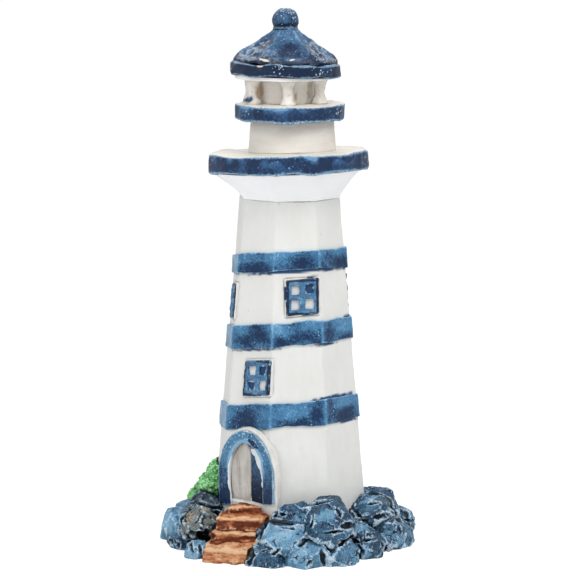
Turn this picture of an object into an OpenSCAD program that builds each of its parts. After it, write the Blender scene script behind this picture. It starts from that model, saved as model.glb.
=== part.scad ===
// Lighthouse ornament: a tapered eight-sided tower on a heap of rocks,
// with a round gallery, a lantern room on six posts and a six-sided roof.
// The door faces -Y. The origin is on the tower's axis, on the surface it stands on.

/* [Base] */
// Radius of the heap of rocks at its widest
base_r = 29.5; // [27:0.1:35]
// Thickness of the slab under the rocks
slab_h = 1.8; // [1.4:0.1:3]
// Distance from the edge of the heap in to the rim of the slab
slab_inset = 6; // [5:0.1:8]
// Height of the mound that rises from the slab to the tower
mound_h = 4.6; // [3:0.1:5]
// Distance from the rim of the slab in to the foot of the mound
mound_inset = 0.6; // [0.2:0.1:1]
// Width of the mound's head beyond the corners of the tower's foot
mound_shelf = 0.5; // [0.2:0.1:1.6]
// Depth of the eight-sided seat for the foot of the tower
seat_depth = 1; // [0.5:0.1:1.2]
// Width of the glue gap between neighbouring rocks
rock_gap = 0.16; // [0.06:0.02:0.4]

/* [Tower] */
// Width across the flats at the foot of the shaft
foot_flats = 34; // [30:0.1:38]
// Width across the flats at the head of the shaft
head_flats = 21.4; // [18:0.1:26]
// Length of the shaft from its foot to the corbel
shaft_h = 77.4; // [68:0.2:100]

/* [Bands and windows] */
// How far the bands stand proud of the shaft
band_proud = 0.5; // [0.3:0.05:1.2]
// Width of the lower band
lower_band_w = 5.6; // [3:0.1:7]
// Width of the middle band
middle_band_w = 5.2; // [3:0.1:7]
// Width of the upper band
upper_band_w = 4.4; // [3:0.1:7]
// Height of the lower band's middle above the crown of the door arch
lower_band_rise = 1.9; // [1:0.1:6]
// Distance between the middles of the lower and the middle band
lower_bay_h = 17.9; // [15:0.1:22]
// Distance between the middles of the middle and the upper band
upper_bay_h = 16.2; // [15:0.1:22]
// Slope of the bands and windows, which lean like the rest of the hand-made tower
band_tilt = 8.4; // [0:0.2:10]
// Bearing towards which the bands and the gallery rise, from the door round to the right
lean_bearing = 70; // [0:1:180]
// Turn of the upper band's high side back towards the door
upper_band_turn = 9; // [0:1:30]
// Width of a window sash
sash_w = 7.1; // [6:0.1:8]
// Height of a window sash
sash_h = 7.6; // [6:0.1:8]
// Width of one pane opening
pane_w = 2; // [1.2:0.1:2.4]
// Height of one pane opening
pane_h = 2.2; // [1.2:0.1:2.6]
// Width of the glazing bars
bar_w = 1.1; // [0.8:0.1:1.6]
// Width of the white casing that shows round a sash
casing_margin = 0.4; // [0.3:0.05:0.8]
// How far a casing stands proud of the wall
casing_proud = 0.3; // [0.2:0.05:1]
// How far a sash stands proud of its casing
sash_proud = 0.35; // [0.2:0.05:1]
// Depth of the pocket in the wall that a casing sits in
casing_pocket = 0.7; // [0.5:0.1:1.5]
// Height of the lower window's middle above the lower band's middle
lower_window_rise = 8.9; // [8:0.1:10]
// Height of the upper windows' middles above the middle band's middle
upper_window_rise = 8.2; // [7.5:0.1:9]
// Shift of the lower window to the right of the middle of its face
lower_window_shift = 1.9; // [-2:0.1:2]
// Shift of the upper windows to the right of the middle of their faces
upper_window_shift = 1.2; // [-2:0.1:2]

/* [Door] */
// Distance from the wall to the front of the door arch, at the landing
arch_reach = 1.05; // [0.9:0.05:2]
// Height of the door opening above the landing
door_h = 13.4; // [11:0.1:15]
// Half the width of the door opening
door_half_w = 4.8; // [4:0.1:5]
// Rise of the rounded head of the door opening
door_head_rise = 7.4; // [4:0.1:9]
// Width of the blue arch round the door
arch_w = 2.9; // [1.5:0.1:3.2]
// Thickness of the blue arch
arch_t = 0.5; // [0.3:0.1:1]
// How far the arch's left foot comes down below the landing
arch_foot_drop = 1.7; // [0:0.1:2]
// Height of the arch's right foot above the landing
arch_foot_lift = 0.6; // [0:0.1:2]
// Width of the white porch block that shows round the arch
porch_rim = 0.5; // [0.3:0.05:0.8]
// Depth of the recess that the door leaves stand in
door_recess = 1; // [0.8:0.1:1.6]
// Depth of the porch block's cheeks in front of the wall
porch_cheek = 0.4; // [0.2:0.1:1]
// Width by which each side of the porch block narrows towards its back
porch_splay = 6; // [4:0.5:6]
// Height of the apron's top edge below the landing
apron_drop = 3; // [2:0.1:4]
// Thickness of a door leaf
leaf_t = 0.6; // [0.4:0.1:0.7]
// Width of the left leaf
left_leaf_w = 6.2; // [3:0.1:7]
// Shift of the door to the right of the middle of its face
door_shift = 0.9; // [-1:0.1:1]

/* [Steps] */
// Rise of one step
step_rise = 3.1; // [2:0.1:3.6]
// Rise from the upper step to the landing
landing_rise = 2.1; // [1:0.1:3]
// Reach of the landing in front of the porch
landing_run = 3; // [2:0.1:5]
// Reach of the upper step in front of the landing
upper_run = 2.1; // [1:0.1:4]
// Reach of the middle step in front of the upper step
middle_run = 1.6; // [1:0.1:4]
// Reach of the lower step in front of the middle step
lower_run = 3; // [1:0.1:4]
// Width of the three steps
step_w = 10; // [8:0.1:12]
// Width of the landing
landing_w = 6.7; // [6:0.1:9]
// Flare of each side of a step towards the wall
step_flare = 0.8; // [0:0.1:1.5]

/* [Gallery] */
// Height of the corbel
corbel_h = 5.9; // [4:0.1:8]
// Radius of the corbel's head, under the gallery
corbel_r = 16.7; // [14:0.1:18]
// How far the foot of the corbel stands proud of the shaft
corbel_lip = 0.25; // [0.1:0.05:0.6]
// Height of the upright edge at the foot of the corbel
corbel_sill = 0.4; // [0.2:0.1:0.8]
// Shift of the corbel's head to the viewer's left
corbel_shift = 0.7; // [0:0.1:1]
// Radius of the gallery deck
gallery_r = 17.9; // [17:0.1:20]
// Thickness of the gallery deck
gallery_h = 4.2; // [3.4:0.1:6]
// Slope of the gallery deck
gallery_tilt = 2.7; // [0:0.1:4]
// Shift of the gallery deck's rim to the viewer's left
gallery_shift = 0.3; // [0:0.1:0.8]

/* [Lantern] */
// Height of the watch room, between the gallery and the lantern deck
watch_h = 7.2; // [6:0.1:10]
// Radius of the watch room at its foot
watch_foot_r = 9.8; // [9:0.1:12]
// Radius of the watch room at its head
watch_head_r = 9.2; // [8:0.1:11]
// Shift of the watch room to the viewer's right
watch_shift = 0.6; // [0:0.1:1]
// Radius of the lantern deck
deck_r = 12.2; // [11.4:0.1:14]
// Thickness of the lantern deck
deck_h = 3.6; // [3:0.1:5]
// Height of the lantern posts
post_h = 5.4; // [4:0.1:8]
// Distance from the axis to a post
post_ring_r = 8.4; // [8:0.1:9.4]
// Radius of a post at its waist
post_waist_r = 0.95; // [0.8:0.05:1.3]
// Radius of a post at its foot and head
post_foot_r = 1.5; // [1.3:0.05:1.6]
// Number of posts
post_count = 6; // [4:1:8]
// Radius of the lantern core
core_r = 6.3; // [5.6:0.1:6.4]
// Radius of the ceiling over the lantern
ceiling_r = 11.3; // [10.8:0.1:11.6]
// Thickness of the ceiling over the lantern
ceiling_h = 0.7; // [0.6:0.1:1.4]

/* [Roof] */
// Shift of the lantern and the roof to the viewer's left
lantern_shift = 0.9; // [0:0.1:1]
// Radius of the round brim of the roof
brim_r = 12.4; // [11.8:0.1:14]
// Thickness of the brim
brim_h = 2.8; // [2:0.1:4]
// Slope of the roof, which sits a little crooked
roof_tilt = 1.8; // [0:0.1:3]
// Distance from the axis to a corner of the roof's foot
roof_foot_r = 11.7; // [10.5:0.1:11.8]
// Height of the roof from the brim to the neck
roof_h = 7.4; // [6:0.1:10]
// Radius of the neck under the ball
neck_r = 2.6; // [2.2:0.1:3]
// Radius where the ball meets the neck
pinch_r = 2.4; // [1.8:0.1:2.5]
// Height of the neck under the ball
neck_h = 0.6; // [0.3:0.1:1.2]
// Radius of the ball
ball_r = 3; // [2.6:0.1:3.6]
// Height of the ball with its neck
finial_h = 4.6; // [3.6:0.1:6]

/* [Joints] */
// Clearance round spigots, tenons, casings, sashes and door leaves
fit = 0.1; // [0.05:0.01:0.25]
// Radius of the spigots that join the upper storeys
spigot_r = 5; // [4:0.1:5.5]
// Length of the spigots that join the upper storeys
spigot_l = 1.8; // [1.4:0.1:2.2]
// Radius of the spigot that carries the roof
roof_spigot_r = 3; // [2.4:0.1:3.6]
// Radius of the pin under the finial
finial_pin_r = 1.1; // [0.8:0.1:1.4]
// Length of the pin under the finial
finial_pin_l = 2.4; // [1.5:0.1:3]
// Radius of a post's tenon
tenon_r = 0.5; // [0.4:0.05:0.7]
// Length of a post's tenon
tenon_l = 0.8; // [0.6:0.1:1.2]

/* [Hidden] */
$fn = 96;
white = "#e9e8e4";
cream = "#efe6d8";
blue = "#3c6ea5";
navy = "#24406e";
rock_blue = "#56789b";
sand = "#c98a5a";
leaf_green = "#4ea84c";
far = 200;
// How far a cutting shape passes beyond the piece it cuts
clear = 8;

// Bearings run from the door (-Y) round to the right (+X)
viewer_right = 127.5;
viewer_left = viewer_right + 180;
roof_face_bearing = 42;
taper = atan((foot_flats - head_flats) / 2 / shaft_h);

// Levels above the floor
shaft_z = slab_h - seat_depth;
corbel_z = shaft_z + shaft_h;
gallery_z = corbel_z + corbel_h;
watch_z = gallery_z + gallery_h;
deck_z = watch_z + watch_h;
lantern_z = deck_z + deck_h;
ceiling_z = lantern_z + post_h;
brim_z = ceiling_z + ceiling_h;
roof_z = brim_z + brim_h;
neck_z = roof_z + roof_h;
landing_z = 3 * step_rise + landing_rise;
arch_crown_z = landing_z + door_h + arch_w;
lower_band_z = arch_crown_z + lower_band_rise;
middle_band_z = lower_band_z + lower_bay_h;
upper_band_z = middle_band_z + upper_bay_h;

// Half the width across the flats at a level
function flat_at(z) = foot_flats / 2 - (z - shaft_z) * tan(taper);
// Unit vector that points outwards along a bearing
function out_dir(bearing) = [sin(bearing), -cos(bearing), 0];
// Rise of a plane that slopes up towards the lean, at a bearing and a radius
function lean_rise(bearing, r) = r * tan(band_tilt) * cos(bearing - lean_bearing);

arch_front = flat_at(landing_z) + arch_reach;
porch_front = arch_front - arch_t;
door_middle = door_shift;
leaf_split = door_shift - door_half_w + left_leaf_w;
porch_half_w = door_half_w + arch_w + porch_rim;

// Windows: name, bearing of the face, level of the middle before the lean, shift to the right
WINDOWS = [
    ["front", 0, lower_band_z + lower_window_rise, lower_window_shift],
    ["right", 45, middle_band_z + upper_window_rise, upper_window_shift],
    ["left", -45, middle_band_z + upper_window_rise, upper_window_shift],
    ["rear_right", 135, middle_band_z + upper_window_rise, upper_window_shift],
    ["rear_left", -135, middle_band_z + upper_window_rise, upper_window_shift]
];
casing_w = sash_w + 2 * casing_margin;
casing_h = sash_h + 2 * casing_margin;
// Depth in the wall of the rebate that a sash sits in
sash_seat = casing_proud - casing_pocket / 2;

// Steps from the bottom: level of the top, reach from the axis, turn of the nosing, width, shift
landing_front = arch_front + landing_run;
upper_front = landing_front + upper_run;
middle_front = upper_front + middle_run;
lower_front = middle_front + lower_run;
STEPS = [
    [step_rise, lower_front, 23, step_w, 2.75],
    [2 * step_rise, middle_front, 34, step_w, 2.7],
    [3 * step_rise, upper_front, 30, step_w, 3.2],
    [landing_z, landing_front, 40, landing_w, 2.6]
];

// Rocks: bearing, distance in from the edge of the heap, half width, half depth, underside, top
SHORE = [
    [-102, 6.6, 7.8, 7.4, -4.5, 6.4],
    [-74, 6.2, 6.8, 7, -4.5, 6],
    [-50, 4.6, 5.8, 5, -4, 7.8],
    [-31, 4.8, 5, 5.2, -3.5, 9.4],
    [-12, 3.6, 4, 3.8, -3, 4.6],
    [25, 5.6, 4.8, 3.8, -3, 4.2],
    [36, 9.6, 7.2, 5.2, -1, 10.4],
    [47, 6.6, 6.4, 4.8, -3.5, 6],
    [66, 6.2, 5.8, 5, -3.5, 5.4],
    [84, 6.6, 4.4, 5, -3.5, 8],
    [113, 5, 5.4, 4.8, -3.5, 5.6],
    [139, 6.6, 6.6, 6.2, -4.5, 6.2],
    [167, 6, 8, 7.4, -4.5, 7],
    [198, 6, 8.4, 7.4, -4.5, 6.6],
    [228, 6, 8, 7.4, -4.5, 7.4]
];
// Rocks that lean on the tower: bearing, distance from its axis, half width, half depth,
// underside, top
LEDGE = [
    [-17.5, 24.4, 4.6, 3.8, 3, 11],
    [-26.5, 20.4, 4.8, 3.8, 5.5, 12.8],
    [40, 19, 4.8, 3.4, 6.4, 12.8],
    [60, 20.8, 6.6, 5, 1.5, 14.4],
    [103, 20.2, 5.4, 4.6, 3.6, 11.6],
    [102, 24, 4.6, 4.2, -1, 7.8],
    [122, 20.6, 5.2, 4.4, 4, 11.4],
    [126, 24.7, 4.6, 3.8, 0.6, 7],
    [152, 19.6, 6.4, 5.4, 0.6, 8],
    [191, 20, 9, 6, 0.5, 10.8],
    [237, 20, 10, 6, 0.5, 13.4]
];
BUSH = [-64, 20, 12.5, 4.8, 6.4, 18.2];
// Rows of leaf balls: distance out from the bush's middle, bearing of the first ball from it,
// angle between balls, number of balls, height above the underside, radius
LEAF_ROWS = [
    [1.2, -29, 10, 7, 2, 2.7],
    [-1.2, -22.2, 9.6, 6, 5, 2.7],
    [-3.2, -6, 9, 4, 8.2, 2.5]
];
// Radius of the heap, half width of the tower's foot and level of the landing in these tables
table_heap_r = 29.5;
table_foot = 17;
table_landing = 11.4;
heap_scale = base_r / table_heap_r;
level_scale = landing_z / table_landing;
foot_half = foot_flats / 2;
// Distance from the axis of a rock that leans on the tower
function ledge_r(r) = foot_half + (r - table_foot) * (base_r - foot_half) / (table_heap_r - table_foot);
// A row of the tables at the sizes of this heap, its middle at a distance from the axis
function rock_row(s, r) = [
    s[0], r, s[2] * heap_scale, s[3] * heap_scale, s[4] * level_scale, s[5] * level_scale
];
ROCKS = concat(
    [for (s = SHORE) rock_row(s, base_r - s[1] * heap_scale)],
    [for (s = LEDGE) rock_row(s, ledge_r(s[1]))],
    [rock_row(BUSH, ledge_r(BUSH[1]))]
);
bush_index = len(ROCKS) - 1;
leaf_sides = 12;
// Flat sides of a rock, and the range of how deep they cut into its round
facet_count = 15;
facet_low = 0.74;
facet_high = 0.96;
// Rocks this near, as a multiple of their sizes, share a joint
neighbour_reach = 1.25;

function two(n) = n < 10 ? str("0", n) : str(n);

// Everything above a plane that crosses the axis at z and rises towards a bearing
module above(z, tilt, bearing) {
    translate([0, 0, z])
        rotate(a = -tilt, v = [cos(bearing), sin(bearing), 0])
            translate([-far, -far, 0])
                cube([2 * far, 2 * far, far]);
}

module below(z, tilt, bearing) {
    translate([0, 0, z])
        rotate(a = -tilt, v = [cos(bearing), sin(bearing), 0])
            translate([-far, -far, -far])
                cube([2 * far, 2 * far, far]);
}

// The tapered eight-sided shaft, grown outwards by a margin, from z_low to z_high
module octagon_taper(grow, z_low, z_high) {
    intersection_for (k = [0:3])
        rotate([0, 0, 45 * k])
            rotate([90, 0, 0])
                linear_extrude(height = 2 * far, center = true)
                    polygon([
                        [-flat_at(z_low) - grow, z_low],
                        [flat_at(z_low) + grow, z_low],
                        [flat_at(z_high) + grow, z_high],
                        [-flat_at(z_high) - grow, z_high]
                    ]);
}

// Puts a child on a face of the shaft, its +Z pointing out of the wall and its +Y up the wall
module on_face(bearing, z, shift) {
    rotate([0, 0, bearing])
        translate([shift, -flat_at(z), z])
            rotate([90 - taper, 0, 0])
                children();
}

// A plate with upright sides whose top and bottom edges rise to the right
module leaning_plate(w, h, z_low, z_high, slope) {
    rise = slope * w / 2;
    translate([0, 0, z_low])
        linear_extrude(height = z_high - z_low)
            polygon([
                [-w / 2, -h / 2 - rise],
                [w / 2, -h / 2 + rise],
                [w / 2, h / 2 + rise],
                [-w / 2, h / 2 - rise]
            ]);
}

function window_level(w) = w[2] + lean_rise(w[1], flat_at(w[2]));
function window_slope(w) = tan(band_tilt) * sin(lean_bearing - w[1]);

module at_window(w) {
    on_face(w[1], window_level(w), w[3])
        children();
}

// Outline of the door opening, grown by a margin, down to a level
function arch_outline(grow, foot_left, foot_right) = let(
    half = door_half_w + grow,
    spring_z = landing_z + door_h - door_head_rise
) concat(
    [[door_middle - half, foot_left], [door_middle + half, foot_right]],
    [for (a = [0:7.5:180]) [door_middle + half * cos(a), spring_z + (door_head_rise + grow) * sin(a)]]
);

module arch_prism(grow, foot_left, foot_right, back, front) {
    translate([0, -back, 0])
        rotate([90, 0, 0])
            linear_extrude(height = front - back)
                polygon(arch_outline(grow, foot_left, foot_right));
}

// Space taken by the porch, grown by a margin
module porch_space(grow) {
    intersection() {
        arch_prism(arch_w + porch_rim + grow, slab_h - grow, slab_h - grow, clear, arch_front + grow);
        translate([door_middle, 0, 0])
            linear_extrude(height = arch_crown_z + clear)
                polygon([
                    [-porch_half_w - grow, -arch_front - grow],
                    [porch_half_w + grow, -arch_front - grow],
                    [porch_half_w + grow, porch_cheek - arch_front],
                    [porch_half_w - porch_splay + grow, porch_cheek + porch_splay - arch_front],
                    [porch_splay - porch_half_w - grow, porch_cheek + porch_splay - arch_front],
                    [-porch_half_w - grow, porch_cheek - arch_front]
                ]);
    }
}

function turn(p, a) = [p[0] * cos(a) - p[1] * sin(a), p[0] * sin(a) + p[1] * cos(a)];

// Plan of a step: its nosing is turned, and its back edge lies on the porch
function step_plan(s, grow) = let(
    nose = [s[4], -s[1]],
    left = nose + turn([-s[3] / 2 - grow, -grow], s[2]),
    right = nose + turn([s[3] / 2 + grow, -grow], s[2]),
    back = -arch_front - fit + grow
) [left, right, [right[0] + step_flare, back], [left[0] - step_flare, back]];

module step_block(s, z_low, grow) {
    translate([0, 0, z_low - grow])
        linear_extrude(height = s[0] - z_low + 2 * grow)
            polygon(step_plan(s, grow));
}

// Space taken by the flight of steps, grown by a margin
module stair_space(grow) {
    for (k = [0:3])
        step_block(STEPS[k], k == 0 ? 0 : STEPS[k - 1][0], grow);
}

module slab_space(grow) {
    translate([0, 0, -grow])
        cylinder(r = base_r - slab_inset + grow, h = slab_h + 2 * grow);
}

// The mound on the slab that the rocks lie on
module mound_space(grow) {
    translate([0, 0, slab_h - grow])
        cylinder(
            r1 = base_r - slab_inset - mound_inset + 2 * grow,
            r2 = foot_half / cos(22.5) + mound_shelf + grow,
            h = mound_h + 2 * grow
        );
}

module socket(r, z_top, depth) {
    translate([0, 0, z_top - depth - fit])
        cylinder(r = r + fit, h = depth + fit + clear);
}

module spigot(r, z_low, length, root) {
    translate([0, 0, z_low - length])
        cylinder(r = r, h = length + root);
}

// Moves a piece sideways along a bearing
module shifted(distance, bearing) {
    translate(distance * out_dir(bearing))
        children();
}

module on_lantern_axis() {
    shifted(lantern_shift, viewer_left)
        children();
}

// The hole that the roof's spigot passes through
module roof_hole() {
    on_lantern_axis()
        translate([0, 0, ceiling_z - clear])
            cylinder(r = roof_spigot_r + fit, h = roof_z - ceiling_z + 2 * clear);
}

// Middle of a rock or of the bush
function centre(k) = let(s = ROCKS[k]) s[1] * out_dir(s[0]) + [0, 0, (s[4] + s[5]) / 2];
function half_sizes(k) = let(s = ROCKS[k]) [s[2], s[3], (s[5] - s[4]) / 2];
// Reach of an ellipsoid with a rock's half sizes along a direction
function reach(k, dir) = let(
    h = half_sizes(k),
    b = ROCKS[k][0],
    across = dir[0] * cos(b) + dir[1] * sin(b),
    outward = dir[0] * sin(b) - dir[1] * cos(b)
) norm([h[0] * across, h[1] * outward, h[2] * dir[2]]);
function facet_dir(n, count, twist) = let(
    z = 1 - (2 * n + 1) / count,
    a = 137.5 * n + twist
) [sqrt(1 - z * z) * cos(a), sqrt(1 - z * z) * sin(a), z];

// Everything short of a plane at a distance from the origin along a unit vector
module within(dir, distance) {
    rotate([0, acos(dir[2]), atan2(dir[1], dir[0])])
        translate([-far, -far, distance - far])
            cube([2 * far, 2 * far, far]);
}

// Direction and distance of the joint plane between a rock and a neighbour
function joint_dir(k, j) = (centre(j) - centre(k)) / norm(centre(j) - centre(k));
function joint_distance(k, j) = norm(centre(j) - centre(k)) * reach(k, joint_dir(k, j))
    / (reach(k, joint_dir(k, j)) + reach(j, joint_dir(k, j))) - rock_gap / 2;
function touching(k, j) = j != k && norm(centre(j) - centre(k))
    < neighbour_reach * (reach(k, joint_dir(k, j)) + reach(j, joint_dir(k, j)));

// The room that a rock has between its neighbours, above the floor
module cell(k) {
    intersection() {
        translate([-far, -far, 0])
            cube([2 * far, 2 * far, far]);
        translate(centre(k))
            intersection_for (j = [for (j = [0:len(ROCKS) - 1]) if (touching(k, j)) j])
                within(joint_dir(k, j), joint_distance(k, j));
    }
}

// What the tower, the slab and the steps take away from a rock
module taken_from_rocks(k) {
    slab_space(fit);
    mound_space(fit);
    octagon_taper(fit, 0, lower_band_z);
    if (abs(ROCKS[k][0]) < 60) {
        porch_space(fit);
        stair_space(fit);
    }
}

module rock(k) {
    twist = rands(0, 360, 1, 71 + k)[0];
    bite = rands(facet_low, facet_high, facet_count, 17 + k);
    color(rock_blue)
        difference() {
            intersection() {
                translate(centre(k))
                    intersection_for (n = [0:facet_count - 1])
                        within(
                            facet_dir(n, facet_count, twist),
                            bite[n] * reach(k, facet_dir(n, facet_count, twist))
                        );
                cell(k);
            }
            taken_from_rocks(k);
        }
}

// The clump of leaves: three rows of overlapping balls that climb towards the tower
module bush() {
    s = ROCKS[bush_index];
    color(leaf_green)
        difference() {
            intersection() {
                for (row = LEAF_ROWS)
                    for (n = [0:row[3] - 1])
                        translate(
                            (s[1] + row[0] * heap_scale) * out_dir(s[0] + row[1] + row[2] * n)
                            + [0, 0, s[4] + row[4] * level_scale]
                        )
                            sphere(r = row[5] * heap_scale, $fn = leaf_sides);
                cell(bush_index);
            }
            taken_from_rocks(bush_index);
        }
}

module base_slab() {
    color(rock_blue)
        difference() {
            union() {
                slab_space(0);
                difference() {
                    mound_space(0);
                    porch_space(fit);
                    stair_space(fit);
                }
            }
            octagon_taper(fit, shaft_z, slab_h + mound_h + 1);
        }
}

module tower_shaft() {
    color(white)
        difference() {
            octagon_taper(0, shaft_z, corbel_z);
            for (w = WINDOWS)
                at_window(w)
                    leaning_plate(
                        casing_w + 2 * fit, casing_h + 2 * fit,
                        -casing_pocket - fit, casing_pocket, window_slope(w)
                    );
            socket(spigot_r, corbel_z, 2 * spigot_l);
        }
}

module band(z, width, bearing) {
    color(blue)
        difference() {
            octagon_taper(band_proud, z - 2 * width, z + 2 * width);
            octagon_taper(0, z - 3 * width, z + 3 * width);
            below(z - width / 2, band_tilt, bearing);
            above(z + width / 2, band_tilt, bearing);
            porch_space(fit);
        }
}

module lower_band() {
    band(lower_band_z, lower_band_w, lean_bearing);
}

module middle_band() {
    band(middle_band_z, middle_band_w, lean_bearing);
}

module upper_band() {
    band(upper_band_z, upper_band_w, lean_bearing - upper_band_turn);
}

module window_casing(w) {
    color(white)
        at_window(w)
            difference() {
                leaning_plate(casing_w, casing_h, -casing_pocket, casing_proud, window_slope(w));
                leaning_plate(
                    sash_w + 2 * fit, sash_h + 2 * fit, sash_seat, casing_pocket, window_slope(w)
                );
            }
}

module window_sash(w) {
    slope = window_slope(w);
    color(blue)
        at_window(w)
            difference() {
                leaning_plate(sash_w, sash_h, sash_seat, casing_proud + sash_proud, slope);
                for (i = [-1, 1])
                    for (j = [-1, 1])
                        translate([
                            i * (pane_w + bar_w) / 2,
                            j * (pane_h + bar_w) / 2 + i * slope * (pane_w + bar_w) / 2,
                            0
                        ])
                            leaning_plate(pane_w, pane_h, sash_seat - 1, casing_pocket + 1, slope);
            }
}

module porch() {
    color(white)
        difference() {
            porch_space(0);
            octagon_taper(0, 0, corbel_z);
            translate([-far / 2, -porch_front - clear, landing_z - apron_drop])
                cube([far, clear, far]);
            arch_prism(fit, landing_z, landing_z, porch_front - door_recess, arch_front + 1);
        }
}

module door_arch() {
    color(navy)
        difference() {
            arch_prism(
                arch_w, landing_z - arch_foot_drop, landing_z + arch_foot_lift,
                porch_front, arch_front
            );
            arch_prism(0, 0, 0, porch_front - 1, arch_front + 1);
        }
}

// One leaf of the door, between two places across the opening
module door_leaf(from, to) {
    intersection() {
        arch_prism(
            0, landing_z + fit, landing_z + fit,
            porch_front - door_recess, porch_front - door_recess + leaf_t
        );
        translate([from, -far, 0])
            cube([to - from, far, far]);
    }
}

module left_door_leaf() {
    color(white)
        door_leaf(-far / 2, leaf_split - fit / 2);
}

module right_door_leaf() {
    color(blue)
        door_leaf(leaf_split + fit / 2, far / 2);
}

module tread(k) {
    color(sand)
        difference() {
            step_block(STEPS[k], k == 0 ? 0 : STEPS[k - 1][0], 0);
            if (k == 0)
                slab_space(fit);
        }
}

// The corbel goes from the shaft's eight sides to a round head under the gallery
module corbel() {
    foot = (head_flats / 2 + corbel_lip) / cos(22.5);
    corbel_head = 2;
    color(white)
        difference() {
            union() {
                difference() {
                    hull() {
                        translate([0, 0, corbel_z])
                            rotate([0, 0, 22.5])
                                cylinder(r = foot, h = corbel_sill, $fn = 8);
                        shifted(corbel_shift, viewer_left)
                            translate([0, 0, gallery_z])
                                cylinder(r = corbel_r, h = corbel_head, $fn = 48);
                    }
                    above(gallery_z, gallery_tilt, lean_bearing);
                }
                spigot(spigot_r, corbel_z, 2 * spigot_l, 1);
            }
            socket(spigot_r, gallery_z, spigot_l);
        }
}

module gallery_deck() {
    color(blue)
        difference() {
            union() {
                difference() {
                    shifted(gallery_shift, viewer_left)
                        translate([0, 0, gallery_z - gallery_h])
                            cylinder(r = gallery_r, h = 3 * gallery_h);
                    below(gallery_z, gallery_tilt, lean_bearing);
                    above(watch_z, gallery_tilt, lean_bearing);
                }
                spigot(spigot_r, gallery_z, spigot_l, 1);
            }
            socket(spigot_r, watch_z, spigot_l);
        }
}

module watch_room() {
    slope = (watch_foot_r - watch_head_r) / watch_h;
    color(cream)
        difference() {
            union() {
                difference() {
                    shifted(watch_shift, viewer_right)
                        translate([0, 0, watch_z - 1])
                            cylinder(r1 = watch_foot_r + slope, r2 = watch_head_r, h = watch_h + 1);
                    below(watch_z, gallery_tilt, lean_bearing);
                }
                spigot(spigot_r, watch_z, spigot_l, 1);
            }
            socket(spigot_r, deck_z, spigot_l);
        }
}

module at_posts() {
    for (k = [0:post_count - 1])
        rotate([0, 0, roof_face_bearing + 360 / post_count * k])
            translate([0, -post_ring_r, 0])
                children();
}

module lantern_deck() {
    color(blue)
        difference() {
            union() {
                translate([0, 0, deck_z])
                    cylinder(r = deck_r, h = deck_h);
                spigot(spigot_r, deck_z, spigot_l, 1);
            }
            on_lantern_axis() {
                socket(core_r - 2, lantern_z, tenon_l);
                at_posts()
                    socket(tenon_r, lantern_z, tenon_l);
            }
        }
}

module lantern_core() {
    color(cream)
        on_lantern_axis()
            difference() {
                union() {
                    translate([0, 0, lantern_z])
                        cylinder(r = core_r, h = post_h);
                    spigot(core_r - 2, lantern_z, tenon_l, 1);
                }
                socket(roof_spigot_r, ceiling_z, spigot_l);
            }
}

// Radius of a post from its foot to its head, t from 0 to 1
function post_r(t) = post_waist_r + (post_foot_r - post_waist_r) * pow(abs(2 * t - 1), 2.2);

module lantern_posts() {
    color(cream)
        on_lantern_axis()
            at_posts()
                rotate_extrude($fn = 32)
                    polygon(concat(
                        [[0, lantern_z - tenon_l], [tenon_r, lantern_z - tenon_l], [tenon_r, lantern_z]],
                        [for (t = [0:0.25:1]) [post_r(t), lantern_z + post_h * t]],
                        [[0, ceiling_z]]
                    ));
}

module lantern_ceiling() {
    color(white)
        difference() {
            on_lantern_axis()
                translate([0, 0, ceiling_z])
                    cylinder(r = ceiling_r, h = 3 * ceiling_h);
            above(brim_z, roof_tilt, viewer_left);
            roof_hole();
        }
}

module roof_brim() {
    color(navy)
        difference() {
            on_lantern_axis()
                translate([0, 0, brim_z - 1])
                    cylinder(r = brim_r, h = brim_h + 2);
            below(brim_z, roof_tilt, viewer_left);
            above(roof_z, roof_tilt, viewer_left);
            roof_hole();
        }
}

// Distance from the roof's axis to its corners, t from 0 at the foot to 1 at the neck
function roof_corner(t) = neck_r + (roof_foot_r - neck_r)
    * (0.5 * pow(1 - t, 0.74) + 0.25 * (1 - cos(180 * (1 - t))));
function roof_flat(t) = roof_corner(t) * cos(30);

module roof_cone() {
    color(navy)
        difference() {
            union() {
                difference() {
                    on_lantern_axis()
                        intersection_for (k = [0:2])
                            rotate([0, 0, roof_face_bearing + 60 * k])
                                rotate([90, 0, 90])
                                    linear_extrude(height = 2 * far, center = true)
                                        polygon(concat(
                                            [[-roof_flat(0), roof_z - 1], [roof_flat(0), roof_z - 1]],
                                            [for (t = [0:0.1:1]) [roof_flat(t), roof_z + roof_h * t]],
                                            [for (t = [1:-0.1:0]) [-roof_flat(t), roof_z + roof_h * t]]
                                        ));
                    below(roof_z, roof_tilt, viewer_left);
                }
                on_lantern_axis()
                    spigot(roof_spigot_r, ceiling_z, spigot_l, roof_z + 1 - ceiling_z);
            }
            on_lantern_axis()
                socket(finial_pin_r, neck_z, finial_pin_l);
        }
}

// A pin, a short neck and a squashed ball
module finial() {
    pinch = asin(pinch_r / ball_r);
    ball_half = (finial_h - neck_h) / (1 + cos(pinch));
    middle = neck_z + finial_h - ball_half;
    color(blue)
        on_lantern_axis()
            rotate_extrude($fn = 48)
                polygon(concat(
                    [[0, neck_z - finial_pin_l], [finial_pin_r, neck_z - finial_pin_l]],
                    [[finial_pin_r, neck_z], [neck_r, neck_z]],
                    [for (a = [180 - pinch:-8:4]) [ball_r * sin(a), middle + ball_half * cos(a)]],
                    [[0, neck_z + finial_h]]
                ));
}

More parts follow.
